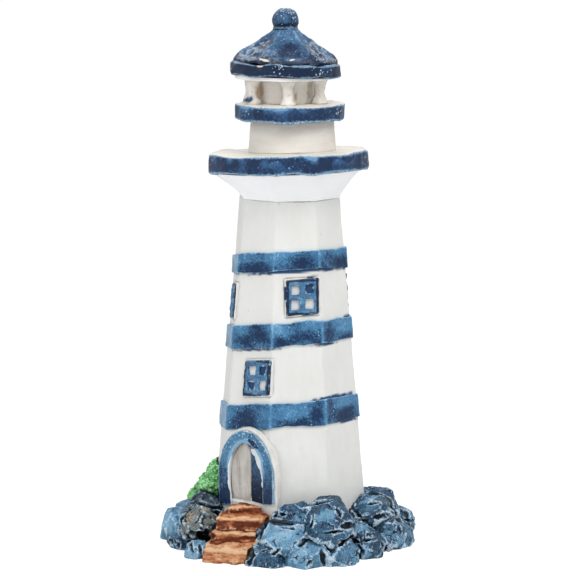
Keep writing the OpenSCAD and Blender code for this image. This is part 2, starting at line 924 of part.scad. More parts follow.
base_slab();
tower_shaft();
lower_band();
middle_band();
upper_band();
porch();
door_arch();
left_door_leaf();
right_door_leaf();
tread(0);  // lower_step
tread(1);  // middle_step
tread(2);  // upper_step
tread(3);  // landing
bush();
corbel();
gallery_deck();
watch_room();
lantern_deck();
lantern_core();
lantern_posts();
lantern_ceiling();
roof_brim();
roof_cone();
finial();
for (w = WINDOWS) {
    window_casing(w);
    window_sash(w);
}
for (k = [1:len(SHORE)])
    rock(k - 1);
for (k = [1:len(LEDGE)])
    rock(len(SHORE) + k - 1);
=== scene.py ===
"""Looks of a hand-painted lighthouse ornament: cast shapes, worn paint and a heap of rocks.

Every piece is shaped in millimetres and scaled to metres when it is finished. Bearings are in
degrees from the door (-Y) round to the right (+X), and heights are above the floor.
"""

import logging
import math
from collections.abc import Callable, Sequence
from dataclasses import dataclass
from enum import Enum

import bmesh
import bpy
import numpy as np
from mathutils import Matrix, Vector, noise
from mathutils.bvhtree import BVHTree

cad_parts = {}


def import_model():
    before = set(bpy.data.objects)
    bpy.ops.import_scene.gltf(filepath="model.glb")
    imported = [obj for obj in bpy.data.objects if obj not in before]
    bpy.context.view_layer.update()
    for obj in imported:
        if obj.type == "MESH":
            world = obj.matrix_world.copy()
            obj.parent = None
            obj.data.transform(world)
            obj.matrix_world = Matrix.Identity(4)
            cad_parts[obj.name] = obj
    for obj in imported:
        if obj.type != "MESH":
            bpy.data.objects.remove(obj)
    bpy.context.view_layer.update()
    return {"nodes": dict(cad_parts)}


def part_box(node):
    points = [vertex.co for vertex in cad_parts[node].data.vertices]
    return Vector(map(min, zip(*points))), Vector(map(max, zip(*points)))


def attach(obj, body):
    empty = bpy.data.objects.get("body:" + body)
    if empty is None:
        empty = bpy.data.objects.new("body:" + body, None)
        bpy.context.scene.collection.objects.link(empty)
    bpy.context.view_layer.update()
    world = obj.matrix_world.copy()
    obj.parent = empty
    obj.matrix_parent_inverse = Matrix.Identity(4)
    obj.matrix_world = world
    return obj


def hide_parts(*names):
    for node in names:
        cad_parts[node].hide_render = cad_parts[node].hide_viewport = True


LOG = logging.getLogger("lighthouse")
METRES = 0.001
NOISE_SEED = 4
VIEWER_LEFT = 307.5
VIEWER_RIGHT = 127.5
LEAN_BEARING = 70.0
TOP_SHIFT = 0.9
TOWER_SIDES = 8
ROOF_SIDES = 6
ROOF_BEARING = 42
BANDS = ("lower_band", "middle_band", "upper_band")
EVEN = (1.0, 1.0, 1.0)

Colour = tuple[float, float, float, float]
Outline = Sequence[tuple[float, float]]
Squeeze = tuple[float, float, float]
Reading = Callable[[list[float]], float | tuple[float, float]]
Socket = bpy.types.NodeSocket


class Slot(Enum):
    """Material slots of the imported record."""

    GROUND = "ground_blue"
    WALL = "wall_white"
    PORCH = "porch_white"
    BAND = "band_blue"
    ARCH = "arch_navy"
    LEAF_WHITE = "leaf_white"
    LEAF_BLUE = "leaf_blue"
    STEP = "step_sand"
    BUSH = "bush_green"
    CORBEL = "corbel_white"
    DECK = "deck_blue"
    ROOM = "room_cream"
    ROOF = "roof_navy"
    CASING = "casing_white"
    SASH = "sash_blue"
    ROCK = "rock_blue"


def paint(red: int, green: int, blue: int) -> Colour:
    """Gives a paint's colour to the shaders.

    Args:
        red: Red as it looks on a screen, 0 to 255.
        green: Green, 0 to 255.
        blue: Blue, 0 to 255.

    Returns:
        The linear colour with an alpha of 1.
    """

    def linear(value: int) -> float:
        """Undoes the screen's curve for one channel."""
        v = value / 255
        return v / 12.92 if v <= 0.04045 else ((v + 0.055) / 1.055) ** 2.4

    return linear(red), linear(green), linear(blue), 1.0


def compass(bearing: float) -> Vector:
    """Unit vector that points outwards along a bearing."""
    angle = math.radians(bearing)
    return Vector((math.sin(angle), -math.cos(angle), 0))


def toward(bearing: float) -> np.ndarray:
    """The same vector, as numbers."""
    return np.array(compass(bearing))


def ease(values: np.ndarray, low: float, high: float) -> np.ndarray:
    """Eases values from 0 at the low level to 1 at the high one, which may lie below it."""
    t = np.clip((values - low) / (high - low), 0, 1)
    return t * t * (3 - 2 * t)


# Noise read at points


def sample(points: np.ndarray, size: float, seed: float, reading: Reading) -> np.ndarray:
    """Reads a noise at every point, with features of a size, moved by a seed."""
    places = points / size + np.array((seed * 7.31, seed * 3.17, seed * 5.73))
    return np.array([reading(place) for place in places.tolist()])


def facet(place: list[float]) -> tuple[float, float]:
    """Reads a surface of flat facets that meet in sharp ridges, as on a broken stone.

    Args:
        place: Point in the noise.

    Returns:
        Height of the surface there, and a number from -1 to 1 that is the facet's own.
    """
    here = Vector(place)
    found = []
    for core in noise.voronoi(place)[1]:
        away = here - core
        tilt = noise.noise_vector(core * 7.7)
        height = 0.5 * noise.noise(core * 3.1) + 1.3 * tilt.dot(away) + 0.5 * away.length_squared
        found.append((height, core))
    height, core = min(found, key=lambda pair: pair[0])
    return height, noise.noise(core * 5.9)


def crack(place: list[float]) -> float:
    """Reads long winding cracks: 1 in a crack and 0 away from it."""
    where = noise.noise([0.6 * value + 40 for value in place])
    return max(0.0, 1 - abs(noise.noise(place)) / 0.045) * (where > 0.02)


def knob(place: list[float]) -> tuple[float, float]:
    """Reads a surface of round knobs.

    Args:
        place: Point in the noise.

    Returns:
        Height of the knob there, and a number from -1 to 1 that is its own.
    """
    gaps, cores = noise.voronoi(place)
    seam = gaps[1] - gaps[0] < 0.1
    return 1 - min(1.0, gaps[0] * 1.7) ** 2 - 0.4 * seam, noise.cell(cores[0] * 5.3)


# Marks placed on the picture


@dataclass(frozen=True)
class View:
    """The camera, and where it shows a point of the ornament.

    Attributes:
        distance: Distance from the tower's axis to the camera, over the floor.
        height: Height of the camera.
        target_z: Height on the axis that it looks at.
        bearing: Bearing of the camera.
        lens: Focal length.
        sensor: Width of the film behind the lens.
        shift_x: Sideways shift of the picture.
        width: Width of the picture in pixels.
    """

    distance: float = 490
    height: float = 140
    target_z: float = 57.32
    bearing: float = 37.5
    lens: float = 138.0
    sensor: float = 36.0
    shift_x: float = -0.0026
    width: float = 576

    def place(self) -> Vector:
        """Where the camera stands."""
        return self.distance * compass(self.bearing) + Vector((0, 0, self.height))

    def target(self) -> Vector:
        """The point on the tower's axis that it looks at."""
        return Vector((0, 0, self.target_z))

    def seen(self, points: np.ndarray) -> np.ndarray:
        """Where points show in the picture.

        Args:
            points: Places in millimetres.

        Returns:
            Pixels from the left and from the top, one row for each point.
        """
        ahead = (self.target() - self.place()).normalized()
        across = ahead.cross(Vector((0, 0, 1))).normalized()
        up = across.cross(ahead)
        away = points - np.array(self.place())
        zoom = self.lens / self.sensor * self.width / (away @ np.array(ahead))
        middle = self.width / 2
        left = middle - self.shift_x * self.width + zoom * (away @ np.array(across))
        return np.stack([left, middle - zoom * (away @ np.array(up))], axis=1)


@dataclass(frozen=True)
class Mark:
    """A hollow, a patch of stains, a painted shadow or highlight, or another mark, placed where the
    picture shows it.

    Attributes:
        left: Pixels from the picture's left edge to its middle.
        down: Pixels from the top edge to its middle.
        wide: Half its length in pixels.
        tall: Half its width in pixels.
        turn: Turn of its length, counter-clockwise from level, in degrees.
    """

    left: float
    down: float
    wide: float
    tall: float
    turn: float = 0

    def cover(self, places: np.ndarray, ragged: np.ndarray) -> np.ndarray:
        """Measures how far the mark covers places in the picture.

        Args:
            places: Pixels from the left and from the top, one row for each place.
            ragged: How far the mark's edge is moved at each of them.

        Returns:
            Numbers from 0 to 1, in the middle of the mark.
        """
        angle = math.radians(self.turn)
        across = places[:, 0] - self.left
        down = places[:, 1] - self.down
        along = (across * math.cos(angle) - down * math.sin(angle)) / self.wide
        aside = (across * math.sin(angle) + down * math.cos(angle)) / self.tall
        return ease(np.hypot(along, aside) + ragged, 1.15, 0.6)


# Dark hollows: each is pressed in and painted near black, as painted shade in crevices, beside the
# steps and under the rocks.
HOLLOWS = {
    "over the mossy rock": Mark(206, 505, 8, 1.6, -14),
    "across the mossy rock": Mark(207, 531, 8, 2.0, -20),
    "moss crack": Mark(198, 519, 6, 1.0, 60),
    "beside the porch": Mark(276, 511, 6, 1.6, 80),
    "right of the middle step": Mark(260, 533, 8, 2.8, 64),
    "right of the lower step": Mark(250.5, 556, 11, 3.6, 80),
    "along the slab": Mark(267, 522, 9, 1.8, 66),
    "left of the middle step": Mark(210, 538, 5, 2.8, 30),
    "left of the lower step": Mark(200, 549, 7, 1.6, 100),
    "navy flute": Mark(190, 544, 9, 2.2, 105),
    "left pit": Mark(178, 545, 4, 1.8, 110),
    "low left pit": Mark(171, 541, 3, 1.6, 120),
    "under the left slab": Mark(276, 552, 6, 1.7, 40),
    "over the lower slab": Mark(303, 543, 6, 2.0, 48),
    "across the left shoulder": Mark(288, 528, 8, 1.1, -8),
    "shoulder pit": Mark(282, 514, 3, 1.6, 0),
    "upright crack": Mark(312, 522, 7, 1.2, 82),
    "lower slab pit": Mark(309, 563, 4, 1.8, 40),
    "between the lower rocks": Mark(323, 558, 8, 3.4, 100),
    "wet pit": Mark(341, 543, 4, 2.6, 40),
    "second pit": Mark(355, 541, 4, 1.6, -20),
    "third pit": Mark(367, 540, 4, 1.5, 10),
    "under the great rock": Mark(334, 532, 11, 1.2, 4),
    "wrinkled gap": Mark(348, 526, 7, 3.2, 10),
    "great gap": Mark(356, 512, 8, 2.4, -48),
    "upper right crack": Mark(339, 512, 6, 1.3, -65),
    "dark cap": Mark(318, 503, 14, 1.4, 12),
    "under the mossy rock": Mark(203, 535, 13, 4, -8),
    "behind the mossy rock": Mark(214, 507, 9, 2.2, -14),
    "right shoulder": Mark(373, 503, 7, 1.2, 10),
    "over the right block": Mark(381, 516, 9, 2.6, 12),
    "right gap": Mark(394, 512, 7, 1.8, -60),
    "low right gap": Mark(384, 547, 6, 1.8, -70),
    "right edge": Mark(405, 519, 5, 1.2, -30),
    "foot of the wall": Mark(354, 497, 4, 1.6, 40),
}
# Paler patches on the rocks: paler paint, and painted highlights where faces and ridges catch the
# light.
PALE_PATCHES = {
    "left slab": Mark(283, 536, 15, 5, 22),
    "lower slab": Mark(300, 555, 14, 5, 40),
    "left ridge": Mark(181, 522, 14, 2.2, 102),
    "great face": Mark(325, 516, 12, 6, 10),
    "right face": Mark(362, 529, 9, 6, -20),
    "right brow": Mark(368, 500, 13, 2, 20),
    "far right edge": Mark(401, 540, 8, 3, 60),
    "low right lobe": Mark(364, 556, 8, 4, 10),
    "far left face": Mark(169, 522, 8, 12, 0),
    "low left foot": Mark(186, 553, 12, 4, -18),
    "left of the lower step": Mark(195, 556, 6, 5, 0),
    "left flank of the great rock": Mark(300, 517, 7, 5, 30),
}
CREAM_STAINS = {
    "left recess": Mark(259, 91, 10, 4.6, 88),
    "middle recess": Mark(295, 98, 5, 1.8, 75),
    "right recess": Mark(309, 91, 10, 2.4, 86),
}
DRIPS = {
    "at the left post": Mark(249, 99.5, 6, 3.0, 20),
}
DARK_PANES = {
    "upper window": Mark(309.5, 289.0, 5.4, 5.4),
    "front window, upper right": Mark(262.6, 370.6, 4.2, 5.2),
    "front window, lower left": Mark(251.3, 385.2, 4.0, 5.2),
}
# Painted shadows: dark lines that the bands cast on the shaft.
BAND_SHADOWS = {
    "under the upper band": Mark(297, 271, 58, 5, 4),
    "under the middle band, left": Mark(258, 351, 27, 4, 0),
    "under the middle band, right": Mark(326, 344.5, 13, 4, 5),
    "over the middle band": Mark(348, 316.5, 5, 3, 10),
    "over the lower band": Mark(333, 398, 25, 4.5, 12),
    "under the lower band, right": Mark(347, 420.5, 11, 4, 8),
}
SMEARS = {
    "left of the upper window": Mark(284.6, 293.5, 7.5, 2.2, 88),
    "over the upper window": Mark(311, 277.4, 5, 1.1, 12),
    "under the upper window": Mark(308, 315.6, 8, 1.2, 2),
    "under the front window": Mark(254, 395.4, 8, 0.9, 0),
}
# A painted shadow: the grey line that the corbel's foot casts on the shaft.
SHAFT_SHADOWS = {
    "under the corbel": Mark(298.5, 201.6, 13, 1.0, 1),
}
ARCH_SHADOWS = {
    "right of the crown": Mark(253, 444.5, 7, 2.2, -48),
}
TAN_PATCHES = {
    "on the mossy rock": Mark(189, 517, 7, 5.5, 60),
    "over the mossy rock": Mark(203, 509, 7, 2.2, 0),
    "low on the mossy rock": Mark(200, 528, 5, 2, 20),
    "left sill": Mark(226, 505, 5, 1.8, 15),
}
CHIPS = {
    "on the roof": Mark(264, 60, 6, 1.7, -14),
    "on the brim": Mark(260, 66, 3.4, 1.3, 10),
    "right of the chip": Mark(292, 60, 2.6, 0.9, 10),
}
# Crowded pale specks: paint specks on the roof, brim and ball, and painted rim light at the ends of the
# gallery and the lantern deck.
SPECKS_AND_RIM_LIGHT = {
    "front of the brim": Mark(278, 70, 10, 7, 0),
    "right of the brim": Mark(320, 70, 14, 6, 0),
    "right of the roof": Mark(322, 56, 16, 7, -30),
    "ball": Mark(287, 17, 13, 11, 0),
    "left of the lantern deck": Mark(247, 112, 10, 6, 0),
    "right end of the lantern deck": Mark(340, 112, 5, 8, 0),
    "right end of the gallery": Mark(365, 160, 6, 9, 0),
    "left end of the gallery": Mark(209, 160, 4, 9, 0),
}
SCUFFS = {
    "left face of the roof": Mark(254, 49, 20, 8, 32),
    "right face of the roof": Mark(321, 50, 19, 8, -34),
}


# Shapes under the modelling tool


class Skin:
    """The surface of one piece, in millimetres.

    Args:
        mesh: A closed mesh, which the skin takes over.
    """

    def __init__(self, mesh: bpy.types.Mesh) -> None:
        """Reads the mesh's points and edges."""
        self.mesh = mesh
        self.points = np.empty(len(mesh.vertices) * 3)
        mesh.vertices.foreach_get("co", self.points)
        self.points = self.points.reshape(-1, 3)
        pairs = np.empty(len(mesh.edges) * 2, np.int32)
        mesh.edges.foreach_get("vertices", pairs)
        self.starts, self.ends = pairs.reshape(-1, 2).T
        size = len(self.points)
        self.reach = np.bincount(self.starts, minlength=size) + np.bincount(self.ends, minlength=size)

    def relaxed(self, values: np.ndarray, times: int) -> np.ndarray:
        """Blurs values over the surface.

        Args:
            values: One row for each point.
            times: Number of passes.

        Returns:
            The blurred values.
        """
        out = values.reshape(len(self.points), -1).astype(float)
        size = len(out)
        for _ in range(times):
            for column in out.T:
                around = np.bincount(self.starts, column[self.ends], size)
                around += np.bincount(self.ends, column[self.starts], size)
                column[:] = (column + around / self.reach) / 2
        return out.reshape(values.shape)

    def write(self) -> None:
        """Moves the mesh's points to where the skin has them."""
        self.mesh.vertices.foreach_set("co", self.points.ravel())
        self.mesh.update()

    def normals(self, times: int = 0) -> np.ndarray:
        """Gives the outward unit vectors.

        Args:
            times: Passes of blur over the surface.

        Returns:
            One vector for each point.
        """
        self.write()
        out = np.empty(len(self.points) * 3, np.float32)
        self.mesh.vertex_normals.foreach_get("vector", out)
        out = self.relaxed(out.reshape(-1, 3), times)
        return out / np.maximum(np.linalg.norm(out, axis=1, keepdims=True), 1e-9)

    def smooth(self, times: int) -> None:
        """Rounds the surface off."""
        self.points = self.relaxed(self.points, times)

    def press(self, heights: np.ndarray, times: int = 2) -> None:
        """Moves each point outwards by its own height, along normals blurred a number of times."""
        self.points += self.normals(times) * heights[:, None]

    def lean(self, share: np.ndarray | float, degrees: float, bearing: float) -> None:
        """Tilts the piece as a stack of sheets, each point by a share of a slope up to a bearing."""
        rise = self.points @ toward(bearing) * math.tan(math.radians(degrees))
        self.points[:, 2] += rise * share

    def shift(self, distance: float, bearing: float) -> None:
        """Moves the piece along a bearing."""
        self.points += distance * toward(bearing)

    def relief(self, times: int, depth: float) -> np.ndarray:
        """How far each point stands above the surface round it, where depth gives 1, from -1 to 1."""
        above = ((self.points - self.relaxed(self.points, times)) * self.normals(1)).sum(1)
        return np.clip(above / depth, -1, 1)

    def nearness(self, tree: BVHTree, reach: float) -> np.ndarray:
        """Measures how near other pieces are.

        Args:
            tree: The other pieces.
            reach: Distance at which a piece no longer counts.

        Returns:
            Numbers from 0 to 1, where another piece touches.
        """
        found = [tree.find_nearest(point, reach)[3] for point in self.points.tolist()]
        away = np.array([reach if gap is None else gap for gap in found])
        return 1 - ease(away, 0.1 * reach, reach)

    def facing(self, tree: BVHTree, reach: float) -> np.ndarray:
        """Measures how squarely each point faces the piece nearest to it.

        Args:
            tree: The other pieces.
            reach: Distance at which a piece no longer counts.

        Returns:
            Numbers from 0 to 1.
        """
        out = np.zeros(len(self.points))
        normals = self.normals(2)
        for k, point in enumerate(self.points.tolist()):
            place = tree.find_nearest(point, reach)[0]
            if place is not None:
                away = place - Vector(point)
                out[k] = max(0.0, Vector(normals[k]).dot(away) / max(away.length, 1e-6))
        return out

    def sample(self, size: float, seed: float, reading: Reading) -> np.ndarray:
        """Reads a noise at every point, with features of a size, moved by a seed."""
        return sample(self.points, size, seed, reading)

    def lumps(self, size: float, seed: float, squeeze: Squeeze = EVEN) -> np.ndarray:
        """Soft lumps and hollows from about -0.7 to 0.7, squeezed along each axis."""
        return sample(self.points * np.array(squeeze), size, seed, noise.noise)

    def marked(self, marks: dict[str, Mark], seed: float) -> np.ndarray:
        """Measures how far marks of the picture cover the side that the camera sees.

        Args:
            marks: The marks by name.
            seed: Sets their ragged edges apart from other marks'.

        Returns:
            Numbers from 0 to 1.
        """
        places = View().seen(self.points)
        ragged = 0.5 * self.lumps(0.9, seed)
        covers = [mark.cover(places, ragged) for mark in marks.values()]
        to_camera = np.array(View().place()) - self.points
        return np.max(covers, axis=0) * ((self.normals(2) * to_camera).sum(1) > 0)

    def keep(self, name: str, values: np.ndarray) -> None:
        """Stores values at the points for the paint, which reads 0 where nothing is kept."""
        layer = self.mesh.attributes.new(name, "FLOAT", "POINT")
        layer.data.foreach_set("value", np.ascontiguousarray(values, np.float32))

    def keep_ridges_and_hollows(self, fine: float, broad: float) -> None:
        """Stores the ridges that wear follows, and the hollows that dark paint and painted shade
        follow.

        Args:
            fine: Height of a small ridge, in millimetres.
            broad: Height of a large one.
        """
        small = self.relief(3, fine)
        large = self.relief(18, broad)
        self.keep("ridge", np.clip(0.55 * small + 0.6 * large, 0, 1))
        self.keep("hollow", np.clip(-0.55 * small - 0.6 * large, 0, 1))


def mesh_of(shape: bmesh.types.BMesh, name: str) -> bpy.types.Mesh:
    """Writes a shape to a mesh.

    Args:
        shape: The shape, which is used up.
        name: Name of the mesh.

    Returns:
        The mesh.
    """
    mesh = bpy.data.meshes.new(name)
    shape.to_mesh(mesh)
    shape.free()
    return mesh


def rounded(corners: Outline, radius: float, step: float) -> list[tuple[float, float]]:
    """Rounds the corners of an outline and divides its lines.

    Args:
        corners: Points of the outline, (radius, height).
        radius: Distance from a corner at which its rounding starts.
        step: Longest piece of line.

    Returns:
        The finer outline.
    """
    bends = [Vector(corners[0])]
    for before, corner, after in zip(corners, corners[1:], corners[2:]):
        here = Vector(corner)
        back = Vector(before) - here
        ahead = Vector(after) - here
        start = here + back.normalized() * min(radius, back.length / 2)
        end = here + ahead.normalized() * min(radius, ahead.length / 2)
        bends += [start.lerp(here, t).lerp(here.lerp(end, t), t) for t in (0, 0.25, 0.5, 0.75, 1)]
    bends.append(Vector(corners[-1]))
    fine = [bends[0]]
    for start, end in zip(bends, bends[1:]):
        count = max(1, math.ceil((end - start).length / step))
        fine += [start.lerp(end, k / count) for k in range(1, count + 1)]
    return [(point.x, point.y) for point in fine]


def turned(outline: Outline, steps: int) -> bmesh.types.BMesh:
    """Spins an outline round the upright axis.

    Args:
        outline: Points (radius, height) from the axis at the bottom to the axis at the top.
        steps: Number of faces round.

    Returns:
        The closed shape.
    """
    shape = bmesh.new()
    verts = [shape.verts.new((r, 0, z)) for r, z in outline]
    edges = [shape.edges.new(pair) for pair in zip(verts, verts[1:])]
    bmesh.ops.spin(
        shape, geom=verts + edges, cent=(0, 0, 0), axis=(0, 0, 1), dvec=(0, 0, 0),
        angle=math.tau, steps=steps, use_merge=True, use_duplicate=False,
    )
    bmesh.ops.remove_doubles(shape, verts=shape.verts, dist=0.001)
    bmesh.ops.recalc_face_normals(shape, faces=shape.faces)
    return shape


def lathe(outline: Outline, rounding: float, step: float, faces: int) -> Skin:
    """Turns a skin from an outline, with its corners rounded, in a number of faces round."""
    return Skin(mesh_of(turned(rounded(outline, rounding, step), faces), "turned"))


def disc(radius: float, low: float, high: float) -> Outline:
    """Outline of a plain disc between two heights."""
    return [(0, low), (radius, low), (radius, high), (0, high)]


def pressed_flat(points: np.ndarray, sides: int, first: float) -> np.ndarray:
    """Measures how a ring of flat sides departs from a circle.

    Args:
        points: Places in millimetres, round the upright axis.
        sides: Number of flat sides.
        first: Bearing of the middle of one side.

    Returns:
        Distance to the ring over the distance to its corners.
    """
    bearing = np.degrees(np.arctan2(points[:, 0], -points[:, 1]))
    half = 180 / sides
    across = (bearing - first + half) % (2 * half) - half
    return math.cos(math.radians(half)) / np.cos(np.radians(across))


# Shader nodes


class Graph:
    """Adds nodes to one shader tree and joins them.

    Args:
        tree: The tree of a material or of a node group.

    Attributes:
        place: Where patterns are read, in millimetres.
        body: Colour of the paint, as far as it is laid.
    """

    def __init__(self, tree: bpy.types.NodeTree) -> None:
        """Keeps the tree."""
        self.tree = tree
        self.place: Socket | None = None
        self.body: Socket | None = None

    def add(
        self, kind: str, inputs: dict[str | int, object] | None = None, **settings: object
    ) -> bpy.types.Node:
        """Adds a node.

        Args:
            kind: Blender's name for the node.
            inputs: Sockets to set, each to a value or to the socket that feeds it.
            settings: Settings of the node.

        Returns:
            The node.
        """
        node = self.tree.nodes.new(kind)
        for name, value in settings.items():
            setattr(node, name, value)
        for name, value in (inputs or {}).items():
            self.feed(node.inputs[name], value)
        return node

    def feed(self, socket: Socket, value: object) -> None:
        """Sets a socket.

        Args:
            socket: The socket.
            value: Its value, or the socket that feeds it.
        """
        if isinstance(value, bpy.types.NodeSocket):
            self.tree.links.new(value, socket)
        else:
            socket.default_value = value

    def math(self, operation: str, a: object, b: object = 0.0, clamp: bool = False) -> Socket:
        """Joins two numbers by an operation."""
        node = self.add("ShaderNodeMath", {0: a, 1: b}, operation=operation, use_clamp=clamp)
        return node.outputs[0]

    def plus(self, a: object, b: object) -> Socket:
        """Adds two numbers."""
        return self.math("ADD", a, b)

    def minus(self, a: object, b: object) -> Socket:
        """Takes the second number from the first."""
        return self.math("SUBTRACT", a, b)

    def times(self, a: object, b: object) -> Socket:
        """Multiplies two numbers."""
        return self.math("MULTIPLY", a, b)

    def most(self, a: object, b: object) -> Socket:
        """The larger of two numbers."""
        return self.math("MAXIMUM", a, b)

    def ease(self, value: object, low: float, high: float) -> Socket:
        """Eases a number from 0 at one level to 1 at another."""
        inputs = {"Value": value, "From Min": low, "From Max": high}
        return self.add("ShaderNodeMapRange", inputs, interpolation_type="SMOOTHSTEP").outputs["Result"]

    def mix(self, factor: object, a: object, b: object) -> Socket:
        """Mixes two colours."""
        node = self.add("ShaderNodeMix", {0: factor, 6: a, 7: b}, data_type="RGBA")
        return node.outputs[2]

    def lay(self, colour: object, mask: Socket, share: object = 1.0) -> None:
        """Lays a colour over the paint where a mask is 1, hiding a share of what is below."""
        self.body = self.mix(mask if share == 1.0 else self.times(mask, share), self.body, colour)

    def noise(
        self, scale: object, detail: float, rough: float = 0.5, squeeze: Squeeze = EVEN
    ) -> Socket:
        """Reads a cloudy number from 0 to 1, with a number of finer layers."""
        inputs = {"Vector": self.squeezed(squeeze), "Scale": scale, "Detail": detail}
        return self.add("ShaderNodeTexNoise", inputs | {"Roughness": rough}).outputs[0]

    def reading(self, name: str) -> Socket:
        """A value that the piece keeps at its points."""
        return self.add("ShaderNodeAttribute", attribute_name=name).outputs["Fac"]

    def scaled(self, place: Socket, factors: Squeeze) -> Socket:
        """Scales a place along each axis."""
        node = self.add("ShaderNodeVectorMath", {0: place, 1: factors}, operation="MULTIPLY")
        return node.outputs[0]

    def squeezed(self, factors: Squeeze) -> Socket:
        """The place that patterns are read at, squeezed along each axis."""
        return self.place if factors == EVEN else self.scaled(self.place, factors)

    def effect(self, name: str, squeeze: Squeeze = EVEN, **inputs: object) -> dict[str, Socket]:
        """Places a shared effect.

        Args:
            name: Name of the effect.
            squeeze: How far its pattern is squeezed along each axis.
            inputs: Its named inputs.

        Returns:
            Its outputs by name.
        """
        node = self.add("ShaderNodeGroup", node_tree=bpy.data.node_groups[name])
        self.feed(node.inputs["Place"], self.squeezed(squeeze))
        for key, value in inputs.items():
            self.feed(node.inputs[key], value)
        return {socket.name: socket for socket in node.outputs}

    def rubbed(self, scale: float, breaks: float, amount: float) -> Socket:
        """Mask of the piece's ridges where an amount of paint is rubbed off, in broken lines."""
        inputs = {"Ridge": self.reading("ridge"), "Scale": scale, "Breaks": breaks, "Amount": amount}
        return self.effect("rubbed_ridges", **inputs)["Mask"]

    def wash_and_shade(self, amount: float = 1.0) -> Socket:
        """Finds the hollows and joints of the piece, where dark paint has run and painted shade darkens
        them, from 0 to 1.
        """
        inputs = {"Hollow": self.reading("hollow"), "Near": self.reading("near"), "Amount": amount}
        return self.effect("dark_wash_and_shade", **inputs)["Mask"]

    def specks(self, scale: float, share: float, size: float) -> Socket:
        """Mask of round specks in a share of the cells, of a size next to a cell's."""
        return self.effect("specks", Scale=scale, Share=share, Size=size)["Mask"]


@dataclass(frozen=True)
class Effect:
    """A node group that several paints share.

    Attributes:
        name: Name of the group.
        numbers: Its inputs besides the place, with the values they start from.
        outputs: Its outputs.
    """

    name: str
    numbers: dict[str, float]
    outputs: tuple[str, ...]

    def build(self, fill: Callable[[Graph, dict[str, Socket]], dict[str, Socket]]) -> None:
        """Makes the group.

        Args:
            fill: Adds the nodes between the inputs and the outputs.
        """
        tree = bpy.data.node_groups.new(self.name, "ShaderNodeTree")
        tree.interface.new_socket("Place", in_out="INPUT", socket_type="NodeSocketVector")
        for key, value in self.numbers.items():
            socket = tree.interface.new_socket(key, in_out="INPUT", socket_type="NodeSocketFloat")
            socket.default_value = value
        for key in self.outputs:
            tree.interface.new_socket(key, in_out="OUTPUT", socket_type="NodeSocketFloat")
        graph = Graph(tree)
        source = graph.add("NodeGroupInput")
        sink = graph.add("NodeGroupOutput")
        graph.place = source.outputs["Place"]
        made = fill(graph, {socket.name: socket for socket in source.outputs if socket.name})
        for key, value in made.items():
            graph.feed(sink.inputs[key], value)


def fill_brush(graph: Graph, ins: dict[str, Socket]) -> dict[str, Socket]:
    """Strokes of a small brush: a tone and a height that run along one way.

    Args:
        graph: Where the nodes go.
        ins: The group's inputs by name.

    Returns:
        What feeds its outputs, by name.
    """
    streak = graph.noise(ins["Scale"], 3)
    hair = graph.noise(graph.times(ins["Scale"], 3.1), 2)
    tone = graph.plus(graph.times(streak, 0.65), graph.times(hair, 0.35))
    return {"Tone": graph.ease(tone, 0.36, 0.64), "Height": tone}


def fill_rubbed(graph: Graph, ins: dict[str, Socket]) -> dict[str, Socket]:
    """Paint rubbed off ridges, in a broken line.

    Args:
        graph: Where the nodes go.
        ins: The group's inputs by name.

    Returns:
        What feeds its outputs, by name.
    """
    cloud = graph.noise(ins["Scale"], 4)
    break_up = graph.times(graph.minus(cloud, 0.5), ins["Breaks"])
    worn = graph.plus(graph.plus(ins["Ridge"], break_up), graph.minus(ins["Amount"], 0.5))
    return {"Mask": graph.ease(worn, 0.3, 0.62)}


def fill_wash_and_shade(graph: Graph, ins: dict[str, Socket]) -> dict[str, Socket]:
    """Darkening of hollows and joints: thin dark paint that has run there, and painted shade.

    Args:
        graph: Where the nodes go.
        ins: The group's inputs by name.

    Returns:
        What feeds its outputs, by name.
    """
    cloud = graph.noise(1.1, 3)
    deep = graph.times(graph.most(ins["Hollow"], ins["Near"]), ins["Amount"])
    spread = graph.times(graph.minus(cloud, 0.5), 0.5)
    return {"Mask": graph.ease(graph.plus(deep, spread), 0.22, 0.7)}


def fill_specks(graph: Graph, ins: dict[str, Socket]) -> dict[str, Socket]:
    """Scattered round specks or pits: some cells have one.

    Args:
        graph: Where the nodes go.
        ins: The group's inputs by name.

    Returns:
        What feeds its outputs, by name.
    """
    cells = graph.add("ShaderNodeTexVoronoi", {"Vector": graph.place, "Scale": ins["Scale"]})
    own = graph.add("ShaderNodeSeparateColor", {"Color": cells.outputs["Color"]})
    chosen = graph.math("LESS_THAN", own.outputs[0], ins["Share"])
    size = graph.times(ins["Size"], graph.plus(graph.times(own.outputs[1], 0.8), 0.4))
    inside = graph.math("LESS_THAN", cells.outputs["Distance"], size)
    return {"Mask": graph.times(chosen, inside)}


def build_effects() -> None:
    """Makes the node groups that the paints share."""
    rubbed = {"Ridge": 0.0, "Scale": 1.5, "Breaks": 0.8, "Amount": 0.5}
    wash_shade = {"Hollow": 0.0, "Near": 0.0, "Amount": 1.0}
    specks = {"Scale": 1.0, "Share": 0.2, "Size": 0.2}
    Effect("brush_strokes", {"Scale": 1.0}, ("Tone", "Height")).build(fill_brush)
    Effect("rubbed_ridges", rubbed, ("Mask",)).build(fill_rubbed)
    Effect("dark_wash_and_shade", wash_shade, ("Mask",)).build(fill_wash_and_shade)
    Effect("specks", specks, ("Mask",)).build(fill_specks)


# Paints


